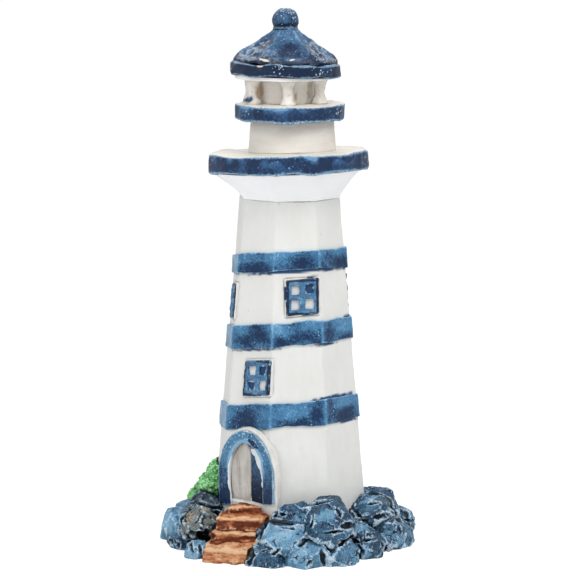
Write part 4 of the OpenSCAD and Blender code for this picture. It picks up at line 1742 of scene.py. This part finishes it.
@dataclass
class Stair(Assembly):
    """The three steps and the landing before the door.

    Attributes:
        grain: Width of a face of the skin.
        swell: Depth of the soft lumps.
        layer: Depth of the level grooves in the fronts.
    """

    grain: float = 0.18
    swell: float = 0.55
    layer: float = 0.34

    def build(self) -> None:
        """Makes each step."""
        for seed, tread in enumerate(TREADS, 1):
            skin = self.bench.cast(tread.node, self.grain)
            near = skin.nearness(self.bench.around(tread.node, 0.8), 0.8)
            skin.smooth(6)
            low = skin.points[:, 2].min()
            upper = ease(skin.points[:, 2], low, tread.level)
            behind = tread.behind(skin.points)
            ahead = tread.flare * ease(behind, 2.5, 0) * (1 - upper)
            skin.points += np.outer(ahead, toward(tread.turn))
            skin.shift(0.35 * tread.flare, VIEWER_LEFT)
            skin.points[:, 2] += tread.slope * np.clip(behind - 0.1, 0, tread.run) * upper
            free = 1 - 0.6 * near
            layers = skin.lumps(1.1, seed + 3, (0.3, 0.3, 1.5))
            upright = 1 - np.abs(skin.normals(3)[:, 2])
            skin.press((self.swell * skin.lumps(2.4, seed) - 0.02) * free, 4)
            depth = self.layer * (1 - 0.4 * tread.paleness)
            skin.press(depth * layers * upright * free + 0.12 * skin.lumps(0.7, seed + 9), 3)
            skin.keep_ridges_and_hollows(0.06, 0.3)
            # Marked hollows beside the steps sink in and take painted shade.
            dark = skin.marked(HOLLOWS, seed)
            skin.press(-0.4 * dark, 6)
            skin.keep("near", np.maximum(0.7 * near * (1 - upper), dark))
            # Painted light and shade: lit tops, shaded fronts and tread backs, and a painted highlight
            # along each nosing.
            normals = skin.normals(3)
            top = normals[:, 2].clip(0, 1)
            front = (normals @ toward(tread.turn)).clip(0, 1)
            shaded = 0.65 - 0.5 * tread.paleness
            sun = top * (tread.sunny - shaded * ease(behind, 0.4, tread.run))
            sun += front * (tread.paleness + 0.9 * upper ** 8 - 0.25) * (1 - top)
            sun += 0.4 * ease(np.abs(behind - 0.1), 0.4, 0.05) * ease(upper, 0.8, 0.97)
            skin.keep("tone", sun)
            self.bench.finish(skin, tread.node, Slot.STEP)


@dataclass
class Tower(Assembly):
    """The shaft with its three bands.

    Attributes:
        grain: Width of a face of the shaft's skin.
        waver: How far the walls waver.
        band_grain: Width of a face of a band's skin.
        band_waver: How far the edges of a band wander.
    """

    grain: float = 0.37
    waver: float = 0.14
    band_grain: float = 0.2
    band_waver: float = 0.45

    def build(self) -> None:
        """Makes the shaft and the bands."""
        shaft = self.bench.cast("tower_shaft", self.grain)
        shaft.smooth(1)
        shaft.press(self.waver * shaft.lumps(9, 2) + 0.04 * shaft.lumps(1.6, 4))
        shaft.keep_ridges_and_hollows(0.06, 0.4)
        # The shaft takes painted shadow lines beside the bands.
        beside = shaft.nearness(self.bench.tree(BANDS), 1.0)
        shaft.keep("dripped_and_shadow", ease(beside, 0.35, 0.6) * shaft.marked(BAND_SHADOWS, 5))
        # Painted shadow under the corbel.
        shaft.keep("stained_and_shaded", 0.8 * shaft.marked(SHAFT_SHADOWS, 6))
        self.bench.finish(shaft, "tower_shaft", Slot.WALL)
        for seed, name in enumerate(BANDS, 5):
            self.band(name, seed)

    def band(self, name: str, seed: int) -> None:
        """Makes one band.

        Args:
            name: Its CAD node.
            seed: Sets it apart from the others.
        """
        skin = self.bench.cast(name, self.band_grain)
        skin.smooth(2)
        skin.keep_ridges_and_hollows(0.07, 0.22)
        flat = pressed_flat(skin.points, TOWER_SIDES, 0)
        corner = (flat - flat.min()) / (1 - flat.min())
        below = ease(-skin.normals(2)[:, 2], 0.3, 0.8)
        level = self.above_middle(skin.points)
        cloudy = skin.lumps(5.5, seed + 8, (1, 1, 1.6))
        thick_and_shaded = 0.35 + 0.55 * ease(level, 1.2, -1.6) + 1.25 * cloudy
        thick_and_shaded = np.clip(thick_and_shaded, -0.3, 1.2) * (1 - 0.8 * corner ** 3)
        # Painted shade: navy on the undersides; the paint also darkens towards each band's lower edge.
        skin.keep("thick_and_shaded", thick_and_shaded + 2 * below)
        # Painted rim light: the faces turned to the viewer's left are paler and greyer.
        left = ease(skin.normals(6) @ toward(VIEWER_LEFT), 0.7, 0.97)
        skin.keep("pale", np.maximum(0.5 * ease(corner, 0.8, 1.0), 0.9 * left))
        skin.keep("scuffed_and_rim_lit", 0.4 * left)
        wander = self.band_waver * skin.lumps(6, seed)
        skin.points[:, 2] += wander + 0.12 * skin.lumps(2.2, seed + 1)
        skin.press(0.07 * skin.lumps(1.2, seed + 2) + 0.14 * skin.lumps(4, seed + 4))
        self.bench.finish(skin, name, Slot.BAND)

    def above_middle(self, points: np.ndarray) -> np.ndarray:
        """Height of each point over the tilted plane through the middle of its band."""
        plane = np.stack([points[:, 0], points[:, 1], np.ones(len(points))], axis=1)
        return points[:, 2] - plane @ np.linalg.lstsq(plane, points[:, 2], rcond=None)[0]


@dataclass
class Door(Assembly):
    """The porch, its arch and the two leaves.

    Attributes:
        grain: Width of a face of their skins.
        middle: Middle of the door, from the middle of its wall.
        half: Half the porch's width.
        spring: Height at which its rounded head starts.
        head: Rise of the head.
        cheek_y: Distance from the axis to the back of the porch's upright cheeks.
        lap: How far the blue leaf's edge lies over to the left.
        toe: How far the arch's left foot reaches inwards.
        inner_half: Half the width of the arch's opening.
        inner_head: Rise of its rounded head.
        shoulder_half: Half the width of the white leaf's rounded shoulder.
        shoulder_head: Rise of the shoulder.
        shoulder_middle: Where the shoulder's middle lies, from the middle of the wall.
        shoulder_spring: Height at which it starts.
        sliver_heights: Heights at which the bare strip on the blue leaf is measured.
        sliver_edges: Its left edge at those heights.
    """

    grain: float = 0.14
    middle: float = 0.9
    half: float = 8.2
    spring: float = 17.4
    head: float = 10.8
    cheek_y: float = 16.79
    lap: float = 0.6
    toe: float = 0.65
    inner_half: float = 4.8
    inner_head: float = 7.4
    shoulder_half: float = 3.8
    shoulder_head: float = 3.7
    shoulder_middle: float = -1.3
    shoulder_spring: float = 21.6
    sliver_heights: tuple[float, ...] = (15.2, 17.4, 18.9, 20.4, 21.9, 23.3, 23.7)
    sliver_edges: tuple[float, ...] = (4.95, 4.65, 4.25, 3.75, 3.25, 2.1, 2.0)

    def build(self) -> None:
        """Makes the four pieces."""
        self.part("porch", Slot.PORCH, 0.22, 0.18)
        self.part("door_arch", Slot.ARCH, self.grain, 0.22)
        self.part("left_door_leaf", Slot.LEAF_WHITE, self.grain, 0.1)
        self.part("right_door_leaf", Slot.LEAF_BLUE, self.grain, 0.12)

    def part(self, name: str, slot: Slot, grain: float, waver: float) -> None:
        """Makes one piece of the door.

        Args:
            name: Its CAD node.
            slot: The slot its paint comes from.
            grain: Width of a face of its skin.
            waver: How far its edges wander.
        """
        skin = self.bench.cast(name, grain)
        near = skin.nearness(self.bench.around(name, 0.5), 0.5)
        if slot is Slot.PORCH:
            self.square_up(skin)
            skin.keep("near", 0.4 * near)
        if slot is Slot.LEAF_WHITE:
            self.shape_white_leaf(skin)
        if slot is Slot.LEAF_BLUE:
            self.shape_blue_leaf(skin)
        if slot is Slot.ARCH:
            self.shape_arch(skin)
        skin.smooth(2)
        skin.press(waver * skin.lumps(2.4, len(name)) + 0.05 * skin.lumps(0.8, 3))
        skin.keep_ridges_and_hollows(0.05, 0.25)
        self.bench.finish(skin, name, slot)

    def shape_white_leaf(self, skin: Skin) -> None:
        """Laps the white leaf's edge, sinks its shoulder, paints the shadow above it and places its
        streak.

        Args:
            skin: Its skin.
        """
        across, _, height = skin.points.T.copy()
        skin.points[:, 0] -= self.lap * ease(across, across.max() - 2, across.max() - 0.5)
        shoulder = ease(self.beyond_shoulder(across, height), -0.25, 0.25)
        skin.points[:, 1] += 0.5 * shoulder
        # Painted shadow in the recess over the shoulder.
        skin.keep("dark", shoulder)
        streak = ease(np.abs(across + 1.7 + 0.1 * (height - 18)), 0.8, 0.1)
        skin.keep("streak", streak * (0.3 + 0.5 * ease(height, 14, 19)))

    def shape_blue_leaf(self, skin: Skin) -> None:
        """Laps the blue leaf's edge, bares the strip on it and darkens it towards the foot, with a
        painted shadow at its top under the arch.

        Args:
            skin: Its skin.
        """
        across, _, height = skin.points.T.copy()
        skin.points[:, 0] -= self.lap * ease(across, across.min() + 2, across.min() + 0.5)
        sliver = across - np.interp(height, self.sliver_heights, self.sliver_edges)
        sliver += 0.3 * skin.lumps(0.9, 12)
        within = (height < self.sliver_heights[-1]) & (height > self.sliver_heights[0])
        skin.keep("bare", ease(sliver, -0.12, 0.12) * within)
        # Darker towards the foot, and navy at the top as painted shadow under the arch.
        skin.keep("thick_and_shaded", 1.3 * ease(height, 19, 14) + 2 * ease(height, 23.3, 23.9))

    def shape_arch(self, skin: Skin) -> None:
        """Bends the arch's left foot, and places its heavy, pale and bare paint and a painted shadow
        right of the crown.

        Args:
            skin: Its skin.
        """
        across, _, height = skin.points.T.copy()
        rise = np.maximum(height, self.spring) - self.spring
        inner = np.hypot((across - self.middle) / self.inner_half, rise / self.inner_head)
        wedge = skin.marked(ARCH_SHADOWS, 2)
        inner_rim = ease(inner, 1.2, 1.02) * ease(height, 16, 20)
        skin.keep("pale", 1.6 * inner_rim * (1 - wedge))
        # Painted shadow right of the crown; the legs also darken towards their feet.
        skin.keep("thick_and_shaded", 1.1 * ease(height, 21, 14) + 3 * wedge)
        bare = ease(inner + 0.05 * skin.lumps(1.2, 4), 1.05, 1.01)
        skin.keep("bare", bare * (across < self.middle) * ease(height, 23, 20))
        foot = ease(height, 16, 11.6) * ease(across, -6, -4.2)
        skin.points[:, 0] += self.toe * foot * (across < 0)
        skin.keep("specked", 0.75 * ease(height, 18, 24))

    def beyond_shoulder(self, across: np.ndarray, height: np.ndarray) -> np.ndarray:
        """Measures how far points lie outside the rounded right shoulder of the white leaf.

        Args:
            across: Where they lie from the middle of the wall.
            height: Their heights.

        Returns:
            Distances, below 0 within it.
        """
        aside = across - self.shoulder_middle
        rise = np.maximum(height, self.shoulder_spring) - self.shoulder_spring
        reach = np.hypot(aside / self.shoulder_half, rise / self.shoulder_head)
        return np.where(aside > 0, 2.6 * (reach - 1), -1.0)

    def square_up(self, skin: Skin) -> None:
        """Makes the porch's flanks follow the arch all the way back to the wall.

        Args:
            skin: Its skin.
        """
        aside = skin.points[:, 0] - self.middle
        depth = skin.points[:, 1] + self.cheek_y
        sloping = (depth > 0) & (np.abs(aside) > self.half - depth - 0.2)
        rise = ((skin.points[:, 2] - self.spring) / self.head).clip(0, 1)
        reach = self.half * np.sqrt(1 - rise ** 2)
        skin.points[:, 0] = np.where(sloping, self.middle + np.sign(aside) * reach, skin.points[:, 0])


@dataclass
class Windows(Assembly):
    """The five casings and sashes.

    Attributes:
        grain: Width of a face of a sash's skin.
        casing_grain: Width of a face of a casing's skin.
        plump: How far a sash's bars are swollen.
        inset: How far the side and rear sashes sink into the wall.
        front_inset: How far the front ones do.
    """

    grain: float = 0.11
    casing_grain: float = 0.16
    plump: float = 0.04
    inset: float = 0.15
    front_inset: float = 0.05

    def build(self) -> None:
        """Makes every casing and sash."""
        sashes = sorted(name for name in self.bench.nodes if name.endswith("_sash"))
        for seed, name in enumerate(sashes, 1):
            self.casing(name.replace("_sash", "_casing"), seed)
            self.sash(name, seed)

    def casing(self, name: str, seed: int) -> None:
        """Makes one casing, whose floor shows behind the panes.

        Args:
            name: Its CAD node.
            seed: Sets it apart from the others.
        """
        skin = self.bench.cast(name, self.casing_grain)
        skin.smooth(2)
        skin.press(0.08 * skin.lumps(1.4, seed))
        skin.keep_ridges_and_hollows(0.05, 0.2)
        skin.keep("dripped_and_shadow", ease(skin.marked(DARK_PANES | SMEARS, seed), 0.2, 0.5))
        self.bench.finish(skin, name, Slot.CASING)

    def sash(self, name: str, seed: int) -> None:
        """Makes one sash, swollen and uneven, with dark paint round its rim.

        Args:
            name: Its CAD node.
            seed: Sets it apart from the others.
        """
        skin = self.bench.cast(name, self.grain)
        middle = skin.points.mean(axis=0)
        bearing = math.degrees(math.atan2(middle[0], -middle[1]))
        side = 360 / TOWER_SIDES
        out = toward(round(bearing / side) * side)
        aside = np.abs((skin.points - middle) @ np.array((-out[1], out[0], 0)))
        rise = np.abs(skin.points[:, 2] - middle[2])
        rim = np.maximum(aside / aside.max(), rise / rise.max())
        skin.smooth(5)
        uneven = 0.28 * skin.lumps(1.7, seed + 20) + 0.12 * skin.lumps(0.8, seed)
        skin.press(self.plump + uneven, 4)
        in_front = out @ toward(View().bearing) >= 0.7
        skin.points -= out * (self.front_inset if in_front else self.inset)
        skin.keep_ridges_and_hollows(0.05, 0.2)
        skin.keep("thick_and_shaded", 2.4 * ease(rim, 0.8, 0.94) + 0.7 * skin.lumps(1.6, seed + 3))
        self.bench.finish(skin, name, Slot.SASH)


@dataclass
class Gallery(Assembly):
    """The corbel, the gallery deck and the watch room above it.

    Attributes:
        foot_z: Height of the corbel's foot.
        deck_z: Height of the gallery's underside.
        top_z: Height of its top.
        room_top_z: Height of the watch room's head.
        foot_half: Half the width of the corbel's foot across its flats.
        foot_rise: Height of the foot's upright edge.
        hollow: How far the flare above it is hollowed, where 1 is straight.
        head_r: Radius of the corbel's head.
        deck_r: Radius of the gallery.
        room_foot_r: Radius of the watch room at its foot.
        room_head_r: Radius at its head.
        tilt: Slope of the gallery.
        deck_shift: How far the gallery lies to the viewer's left.
        head_shift: How far the corbel's head does.
        room_shift: How far the watch room lies to the viewer's right.
    """

    foot_z: float = 78.2
    deck_z: float = 84.1
    top_z: float = 88.3
    room_top_z: float = 95.5
    foot_half: float = 10.78
    foot_rise: float = 0.4
    hollow: float = 1.12
    head_r: float = 16.7
    deck_r: float = 17.9
    room_foot_r: float = 9.8
    room_head_r: float = 9.2
    tilt: float = 2.7
    deck_shift: float = 0.3
    head_shift: float = 0.7
    room_shift: float = 0.6

    def build(self) -> None:
        """Makes the three pieces."""
        self.corbel()
        self.deck()
        self.room()

    def corbel(self) -> None:
        """Makes the flare from the tower's eight sides to the round deck."""
        foot_r = self.foot_half / math.cos(math.pi / TOWER_SIDES)
        flare_z = self.foot_z + self.foot_rise
        outline = [(0, self.foot_z), (foot_r, self.foot_z), (foot_r, flare_z)]
        for t in (0.25, 0.5, 0.75, 1.0):
            out = foot_r + (self.head_r - foot_r) * t ** self.hollow
            outline.append((out, flare_z + (self.deck_z - flare_z) * t))
        outline.append((0, self.deck_z))
        skin = lathe(outline, 0.25, 0.55, 192)
        t = ((skin.points[:, 2] - self.foot_z) / (self.deck_z - self.foot_z)).clip(0, 1)
        flat = pressed_flat(skin.points, TOWER_SIDES, 0)
        skin.points[:, :2] *= (flat + (1 - flat) * ease(t, 0, 1))[:, None]
        skin.points += np.outer(self.head_shift * t, toward(VIEWER_LEFT))
        skin.lean(t, self.tilt, LEAN_BEARING)
        skin.press(0.12 * skin.lumps(5, 12) + 0.03 * skin.lumps(1.5, 4))
        skin.keep_ridges_and_hollows(0.06, 0.3)
        self.bench.finish(skin, "corbel", Slot.CORBEL)

    def deck(self) -> None:
        """Makes the gallery deck."""
        skin = lathe(disc(self.deck_r, self.deck_z, self.top_z), 0.45, 0.42, 260)
        skin.shift(self.deck_shift, VIEWER_LEFT)
        skin.lean(1.0, self.tilt, LEAN_BEARING)
        dress_deck(skin, self.deck_r, 21)
        self.bench.finish(skin, "gallery_deck", Slot.DECK)

    def room(self) -> None:
        """Makes the watch room."""
        outline = [
            (0, self.top_z),
            (self.room_foot_r, self.top_z),
            (self.room_head_r, self.room_top_z),
            (0, self.room_top_z),
        ]
        skin = lathe(outline, 0.2, 0.45, 140)
        skin.shift(self.room_shift, VIEWER_RIGHT)
        head = ((skin.points[:, 2] - self.top_z) / (self.room_top_z - self.top_z)).clip(0, 1)
        skin.lean(1 - head, self.tilt, LEAN_BEARING)
        weave = skin.lumps(0.8, 9, (1, 1, 2.2))
        skin.press(0.16 * skin.lumps(5, 8) + 0.13 * weave)
        skin.keep_ridges_and_hollows(0.16, 0.5)
        skin.keep("near", 0.3 * skin.nearness(self.bench.around("watch_room", 0.8), 0.8))
        self.bench.finish(skin, "watch_room", Slot.ROOM)


@dataclass
class Lantern(Assembly):
    """The lantern deck, its core, six posts and the ceiling.

    Attributes:
        deck_z: Height of the lantern deck's underside.
        floor_z: Height of its top.
        ceiling_z: Height of the ceiling's underside.
        brim_z: Height of its top.
        deck_r: Radius of the deck.
        core_r: Radius of the core.
        ring_r: Distance from the axis to a post.
        waist_r: Radius of a post at its waist.
        foot_r: Radius of a post at its foot and head.
        ceiling_r: Radius of the ceiling.
        tilt: Slope of the ceiling's top.
    """

    deck_z: float = 95.5
    floor_z: float = 99.1
    ceiling_z: float = 104.5
    brim_z: float = 105.2
    deck_r: float = 12.2
    core_r: float = 6.3
    ring_r: float = 8.4
    waist_r: float = 1.12
    foot_r: float = 1.8
    ceiling_r: float = 11.3
    tilt: float = 1.8

    def build(self) -> None:
        """Makes the four pieces."""
        deck = lathe(disc(self.deck_r, self.deck_z, self.floor_z), 0.45, 0.38, 200)
        dress_deck(deck, self.deck_r, 31)
        self.bench.finish(deck, "lantern_deck", Slot.DECK)
        core = lathe(disc(self.core_r, self.floor_z, self.ceiling_z), 0.1, 0.3, 132)
        core.shift(TOP_SHIFT, VIEWER_LEFT)
        core.press(0.22 * core.lumps(2.6, 6) + 0.06 * core.lumps(1.0, 7))
        self.cream(core, "lantern_core")
        self.cream(self.posts(), "lantern_posts")
        ceiling = lathe(disc(self.ceiling_r, self.ceiling_z, self.brim_z), 0.15, 0.4, 160)
        ceiling.shift(TOP_SHIFT, VIEWER_LEFT)
        upper = (ceiling.points[:, 2] > (self.ceiling_z + self.brim_z) / 2) * 1.0
        ceiling.lean(upper, self.tilt, VIEWER_LEFT)
        ceiling.press(0.1 * ceiling.lumps(3, 15))
        ceiling.keep_ridges_and_hollows(0.05, 0.3)
        # The ceiling takes the corbel's brighter white, painted light on its underside.
        self.bench.finish(ceiling, "lantern_ceiling", Slot.CORBEL)

    def posts(self) -> Skin:
        """Makes the six posts, which narrow at the waist.

        Returns:
            Their skin.
        """
        outline = [(0.0, self.floor_z)]
        rise = self.ceiling_z - self.floor_z
        for k in range(19):
            t = k / 18
            flare = abs(2 * t - 1) ** 1.9
            radius = self.waist_r + (self.foot_r - self.waist_r) * flare
            outline.append((radius, self.floor_z + rise * t))
        outline.append((0.0, self.ceiling_z))
        ring = bmesh.new()
        for k in range(ROOF_SIDES):
            post = turned(outline, 32)
            bearing = math.radians(ROOF_BEARING + 60 * k)
            move = Matrix.Rotation(bearing, 4, "Z") @ Matrix.Translation((0, -self.ring_r, 0))
            bmesh.ops.transform(post, matrix=move, verts=post.verts)
            mesh = mesh_of(post, "post")
            ring.from_mesh(mesh)
            bpy.data.meshes.remove(mesh)
        skin = Skin(mesh_of(ring, "turned"))
        skin.shift(TOP_SHIFT, VIEWER_LEFT)
        skin.press(0.5 * skin.lumps(2.0, 18) + 0.14 * skin.lumps(0.7, 19))
        return skin

    def cream(self, skin: Skin, node: str) -> None:
        """Stores what the cream paint reads and finishes the piece.

        Args:
            skin: The piece.
            node: Its CAD node.
        """
        skin.keep_ridges_and_hollows(0.05, 0.25)
        skin.keep("near", 0.5 * skin.nearness(self.bench.around(node, 1.1), 1.1))
        skin.keep("stained_and_shaded", 0.7 * skin.marked(CREAM_STAINS, 3))
        skin.keep("dripped_and_shadow", skin.marked(DRIPS, 4))
        self.bench.finish(skin, node, Slot.ROOM)


@dataclass
class Roof(Assembly):
    """The round brim, the six-sided roof and the ball.

    Attributes:
        brim_z: Height of the brim's underside.
        roof_z: Height of its top, where the roof starts.
        neck_z: Height of the neck under the ball.
        top_z: Height of the top of the ball.
        brim_r: Radius of the brim.
        corner_r: Distance from the axis to a corner of the roof's foot.
        neck_r: Radius of the neck.
        skirt: Height of the upright edge at the roof's foot.
        scoop: How far the six faces are hollowed.
        tilt: Slope of the roof.
        ball_r: Radius of the ball.
        pinch_r: Its radius where it meets the neck.
        neck_rise: Height of the neck.
    """

    brim_z: float = 105.2
    roof_z: float = 108.0
    neck_z: float = 115.4
    top_z: float = 120.0
    brim_r: float = 12.4
    corner_r: float = 11.7
    neck_r: float = 2.75
    skirt: float = 0.6
    scoop: float = 1.1
    tilt: float = 1.8
    ball_r: float = 3.0
    pinch_r: float = 2.65
    neck_rise: float = 0.6

    def build(self) -> None:
        """Makes the three pieces."""
        brim = lathe(disc(self.brim_r, self.brim_z, self.roof_z), 0.4, 0.36, 210)
        brim.shift(TOP_SHIFT, VIEWER_LEFT)
        brim.lean(1.0, self.tilt, VIEWER_LEFT)
        dress_deck(brim, self.brim_r, 41, load=1.1)
        self.bench.finish(brim, "roof_brim", Slot.ROOF)
        self.cone()
        self.ball()

    def corner(self, t: float) -> float:
        """Distance from the axis to the roof's corners, from 0 at the foot to 1 at the neck."""
        swell = 0.5 * (1 - t) ** 0.86 + 0.25 * (1 - math.cos(math.pi * (1 - t)))
        return self.neck_r + (self.corner_r - self.neck_r) * swell

    def cone(self) -> None:
        """Makes the six-sided roof with its hollowed faces."""
        outline = [(0.0, self.roof_z), (self.corner_r, self.roof_z)]
        rise = self.neck_z - self.roof_z - self.skirt
        start = self.roof_z + self.skirt
        outline += [(self.corner(k / 28), start + rise * k / 28) for k in range(29)]
        outline.append((0.0, self.neck_z))
        skin = lathe(outline, 0.1, 0.3, 216)
        t = ((skin.points[:, 2] - self.roof_z) / (self.neck_z - self.roof_z)).clip(0, 1)
        flat = pressed_flat(skin.points, ROOF_SIDES, ROOF_BEARING)
        round_at_neck = ease(t, 0.72, 1.0)
        inward = (1 - flat) / (1 - math.cos(math.pi / ROOF_SIDES))
        lip = 0.14 + 0.24 * (1 - inward) ** 2
        hollow = self.scoop * ease(t, 1.0, 0.5) * ease(t, lip - 0.08, lip + 0.1) * inward
        reach = np.linalg.norm(skin.points[:, :2], axis=1)
        at_foot = 0.6 * ease(t, lip + 0.05, lip - 0.1)
        out = flat + (1 - flat) * np.maximum(round_at_neck, at_foot) - hollow / np.maximum(reach, 1)
        skin.points[:, :2] *= out[:, None]
        skin.shift(TOP_SHIFT, VIEWER_LEFT)
        skin.lean(1 - t, self.tilt, VIEWER_LEFT)
        skin.keep_ridges_and_hollows(0.3, 1.0)
        edge = ease(np.abs(t - lip), 0.07, 0.0) * ease(inward, 0.0, 0.4)
        along = ease(inward, 0.5, 0.0) * ease(t, 0.05, 0.3)
        broken = ease(skin.lumps(2.6, 55), -0.3, 0.25)
        elsewhere = 0.6 * ease(skin.lumps(6, 58), 0.05, 0.4) * ease(t, 0.8, 0.4)
        scuffed_and_rim_lit = np.maximum(skin.marked(SCUFFS, 4), elsewhere)
        scuffed_and_rim_lit *= ease(skin.lumps(0.9, 57), -0.25, 0.3)
        worn = (0.8 * edge + 0.6 * along) * broken + 0.4 * ease(t, 0.5, 0.9)
        skin.keep("pale", np.maximum(worn, 0.8 * scuffed_and_rim_lit))
        skin.keep("scuffed_and_rim_lit", 0.7 * scuffed_and_rim_lit)
        # Navy below the lip, and painted shade in the hollowed middles of the faces.
        thick_and_shaded = 0.6 * inward * ease(t, 0.85, 0.4)
        skin.keep("thick_and_shaded", 0.9 * ease(t, lip, lip - 0.05) + thick_and_shaded)
        cracks = skin.sample(2.4, 8, crack)
        skin.press(-0.16 * cracks)
        skin.keep("near", 0.7 * cracks)
        skin.press(0.3 * skin.lumps(3, 51) + 0.14 * skin.lumps(1.1, 52))
        skin.keep("specked", skin.marked(SPECKS_AND_RIM_LIGHT, 7))
        skin.keep("bare", skin.marked(CHIPS, 7))
        self.bench.finish(skin, "roof_cone", Slot.ROOF)

    def ball(self) -> None:
        """Makes the neck and the squashed ball."""
        pinch = math.asin(self.pinch_r / self.ball_r)
        half = (self.top_z - self.neck_z - self.neck_rise) / (1 + math.cos(pinch))
        middle = self.top_z - half
        outline = [(0.0, self.neck_z), (self.neck_r, self.neck_z)]
        for k in range(25):
            angle = (math.pi - pinch) * (1 - k / 24)
            outline.append((self.ball_r * math.sin(angle), middle + half * math.cos(angle)))
        skin = Skin(mesh_of(turned(outline, 72), "turned"))
        skin.shift(TOP_SHIFT, VIEWER_LEFT)
        skin.press(0.2 * skin.lumps(2, 61) + 0.06 * skin.lumps(0.8, 62))
        skin.points[:, 2] = np.minimum(skin.points[:, 2], self.top_z - 0.02)
        skin.keep_ridges_and_hollows(0.1, 3.0)
        skin.keep("specked", skin.marked(SPECKS_AND_RIM_LIGHT, 9))
        skin.keep("pale", 0.45 * ease(skin.lumps(1.2, 64), -0.3, 0.3) - 0.15)
        # Painted shade: the lower part of the ball goes navy.
        skin.keep("thick_and_shaded", 1.4 * ease(skin.points[:, 2], 117.0, 116.0))
        self.bench.finish(skin, "finial", Slot.ROOF)


@dataclass(frozen=True)
class Lamp:
    """A soft lamp that faces the ornament.

    Attributes:
        name: Its name.
        bearing: Bearing it hangs on.
        height: Angle above the floor, in degrees.
        size: Width in millimetres.
        power: Power in watts.
        away: Distance from the ornament, in millimetres.
        target_z: Height that it is aimed at.
    """

    name: str
    bearing: float
    height: float
    size: float
    power: float
    away: float = 420
    target_z: float = 55

    def hang(self) -> None:
        """Adds the lamp to the scene."""
        light = bpy.data.lights.new(self.name, "AREA")
        light.shape = "DISK"
        light.size = self.size * METRES
        light.energy = self.power
        lamp = bpy.data.objects.new(self.name, light)
        rise = math.radians(self.height)
        target = Vector((0, 0, self.target_z))
        way = compass(self.bearing) * math.cos(rise) + Vector((0, 0, math.sin(rise)))
        lamp.location = (target + self.away * way) * METRES
        lamp.rotation_euler = way.to_track_quat("Z", "Y").to_euler()
        bpy.context.scene.collection.objects.link(lamp)


LAMPS = (
    Lamp("key", bearing=66, height=52, size=260, power=0.95),
    Lamp("fill", bearing=343, height=38, size=300, power=0.45),
    Lamp("back", bearing=220, height=50, size=300, power=0.5),
)


@dataclass
class Studio:
    """The white table, the lamps and the camera.

    Attributes:
        table_half: Half the table's width, in metres.
        paper: Grey of the table.
        lit: Glow of the table as the camera sees it.
        shaded: Its grey there, which shows the ornament's shadow.
        sky: Grey of the light from all sides.
    """

    table_half: float = 3
    paper: Colour = (0.88, 0.88, 0.88, 1)
    lit: Colour = (0.93, 0.93, 0.93, 1)
    shaded: Colour = (0.2, 0.2, 0.2, 1)
    sky: Colour = (0.52, 0.52, 0.52, 1)

    def build(self) -> None:
        """Makes the table, the lamps, the world and the camera."""
        self.table()
        self.camera()
        for lamp in LAMPS:
            lamp.hang()
        self.world()
        bpy.context.scene.view_settings.view_transform = "Standard"

    def table(self) -> None:
        """Makes the pale floor, which looks white to the camera but for the shadow."""
        shape = bmesh.new()
        bmesh.ops.create_grid(shape, x_segments=8, y_segments=8, size=self.table_half)
        mesh = mesh_of(shape, "table")
        material = bpy.data.materials.new("table_white")
        material.use_nodes = True
        graph = Graph(material.node_tree)
        shader = material.node_tree.nodes["Principled BSDF"]
        shader.inputs["Roughness"].default_value = 1.0
        shader.inputs["Specular IOR Level"].default_value = 0.0
        seen = graph.add("ShaderNodeLightPath").outputs["Is Camera Ray"]
        graph.feed(shader.inputs["Base Color"], graph.mix(seen, self.paper, self.shaded))
        graph.feed(shader.inputs["Emission Color"], graph.mix(seen, (0, 0, 0, 1), self.lit))
        shader.inputs["Emission Strength"].default_value = 1.0
        mesh.materials.append(material)
        floor = bpy.data.objects.new("table", mesh)
        bpy.context.scene.collection.objects.link(floor)

    def world(self) -> None:
        """Lights everything a little from all sides, and shows white behind."""
        world = bpy.data.worlds.new("studio")
        world.use_nodes = True
        world.node_tree.nodes.clear()
        graph = Graph(world.node_tree)
        path = graph.add("ShaderNodeLightPath")
        seen = graph.most(path.outputs["Is Camera Ray"], path.outputs["Is Glossy Ray"])
        seen = graph.most(seen, path.outputs["Is Transmission Ray"])
        colour = graph.mix(seen, self.sky, (1, 1, 1, 1))
        glow = graph.add("ShaderNodeBackground", {"Color": colour, "Strength": 1.0})
        end = graph.add("ShaderNodeOutputWorld")
        graph.feed(end.inputs["Surface"], glow.outputs[0])
        bpy.context.scene.world = world

    def camera(self) -> None:
        """Places the camera."""
        view = View()
        lens = bpy.data.cameras.new("camera")
        lens.lens = view.lens
        lens.sensor_width = view.sensor
        lens.shift_x = view.shift_x
        lens.clip_start = 0.01
        lens.clip_end = 20
        camera = bpy.data.objects.new("camera", lens)
        away = view.place() - view.target()
        camera.location = view.place() * METRES
        camera.rotation_euler = away.to_track_quat("Z", "Y").to_euler()
        bpy.context.scene.collection.objects.link(camera)
        bpy.context.scene.camera = camera


def main() -> None:
    """Loads the frame and builds the ornament and its studio."""
    logging.basicConfig(level=logging.INFO, format="%(message)s")
    noise.seed_set(NOISE_SEED)
    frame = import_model()
    bench = Bench(frame["nodes"])
    Studio().build()
    for assembly in (RockHeap, Bush, Stair, Tower, Door, Windows, Gallery, Lantern, Roof):
        assembly(bench).build()
        LOG.info("%s is done", assembly.__name__)
    LOG.info("all pieces: %d triangles", bench.triangles)


if __name__ == "__main__":
    main()
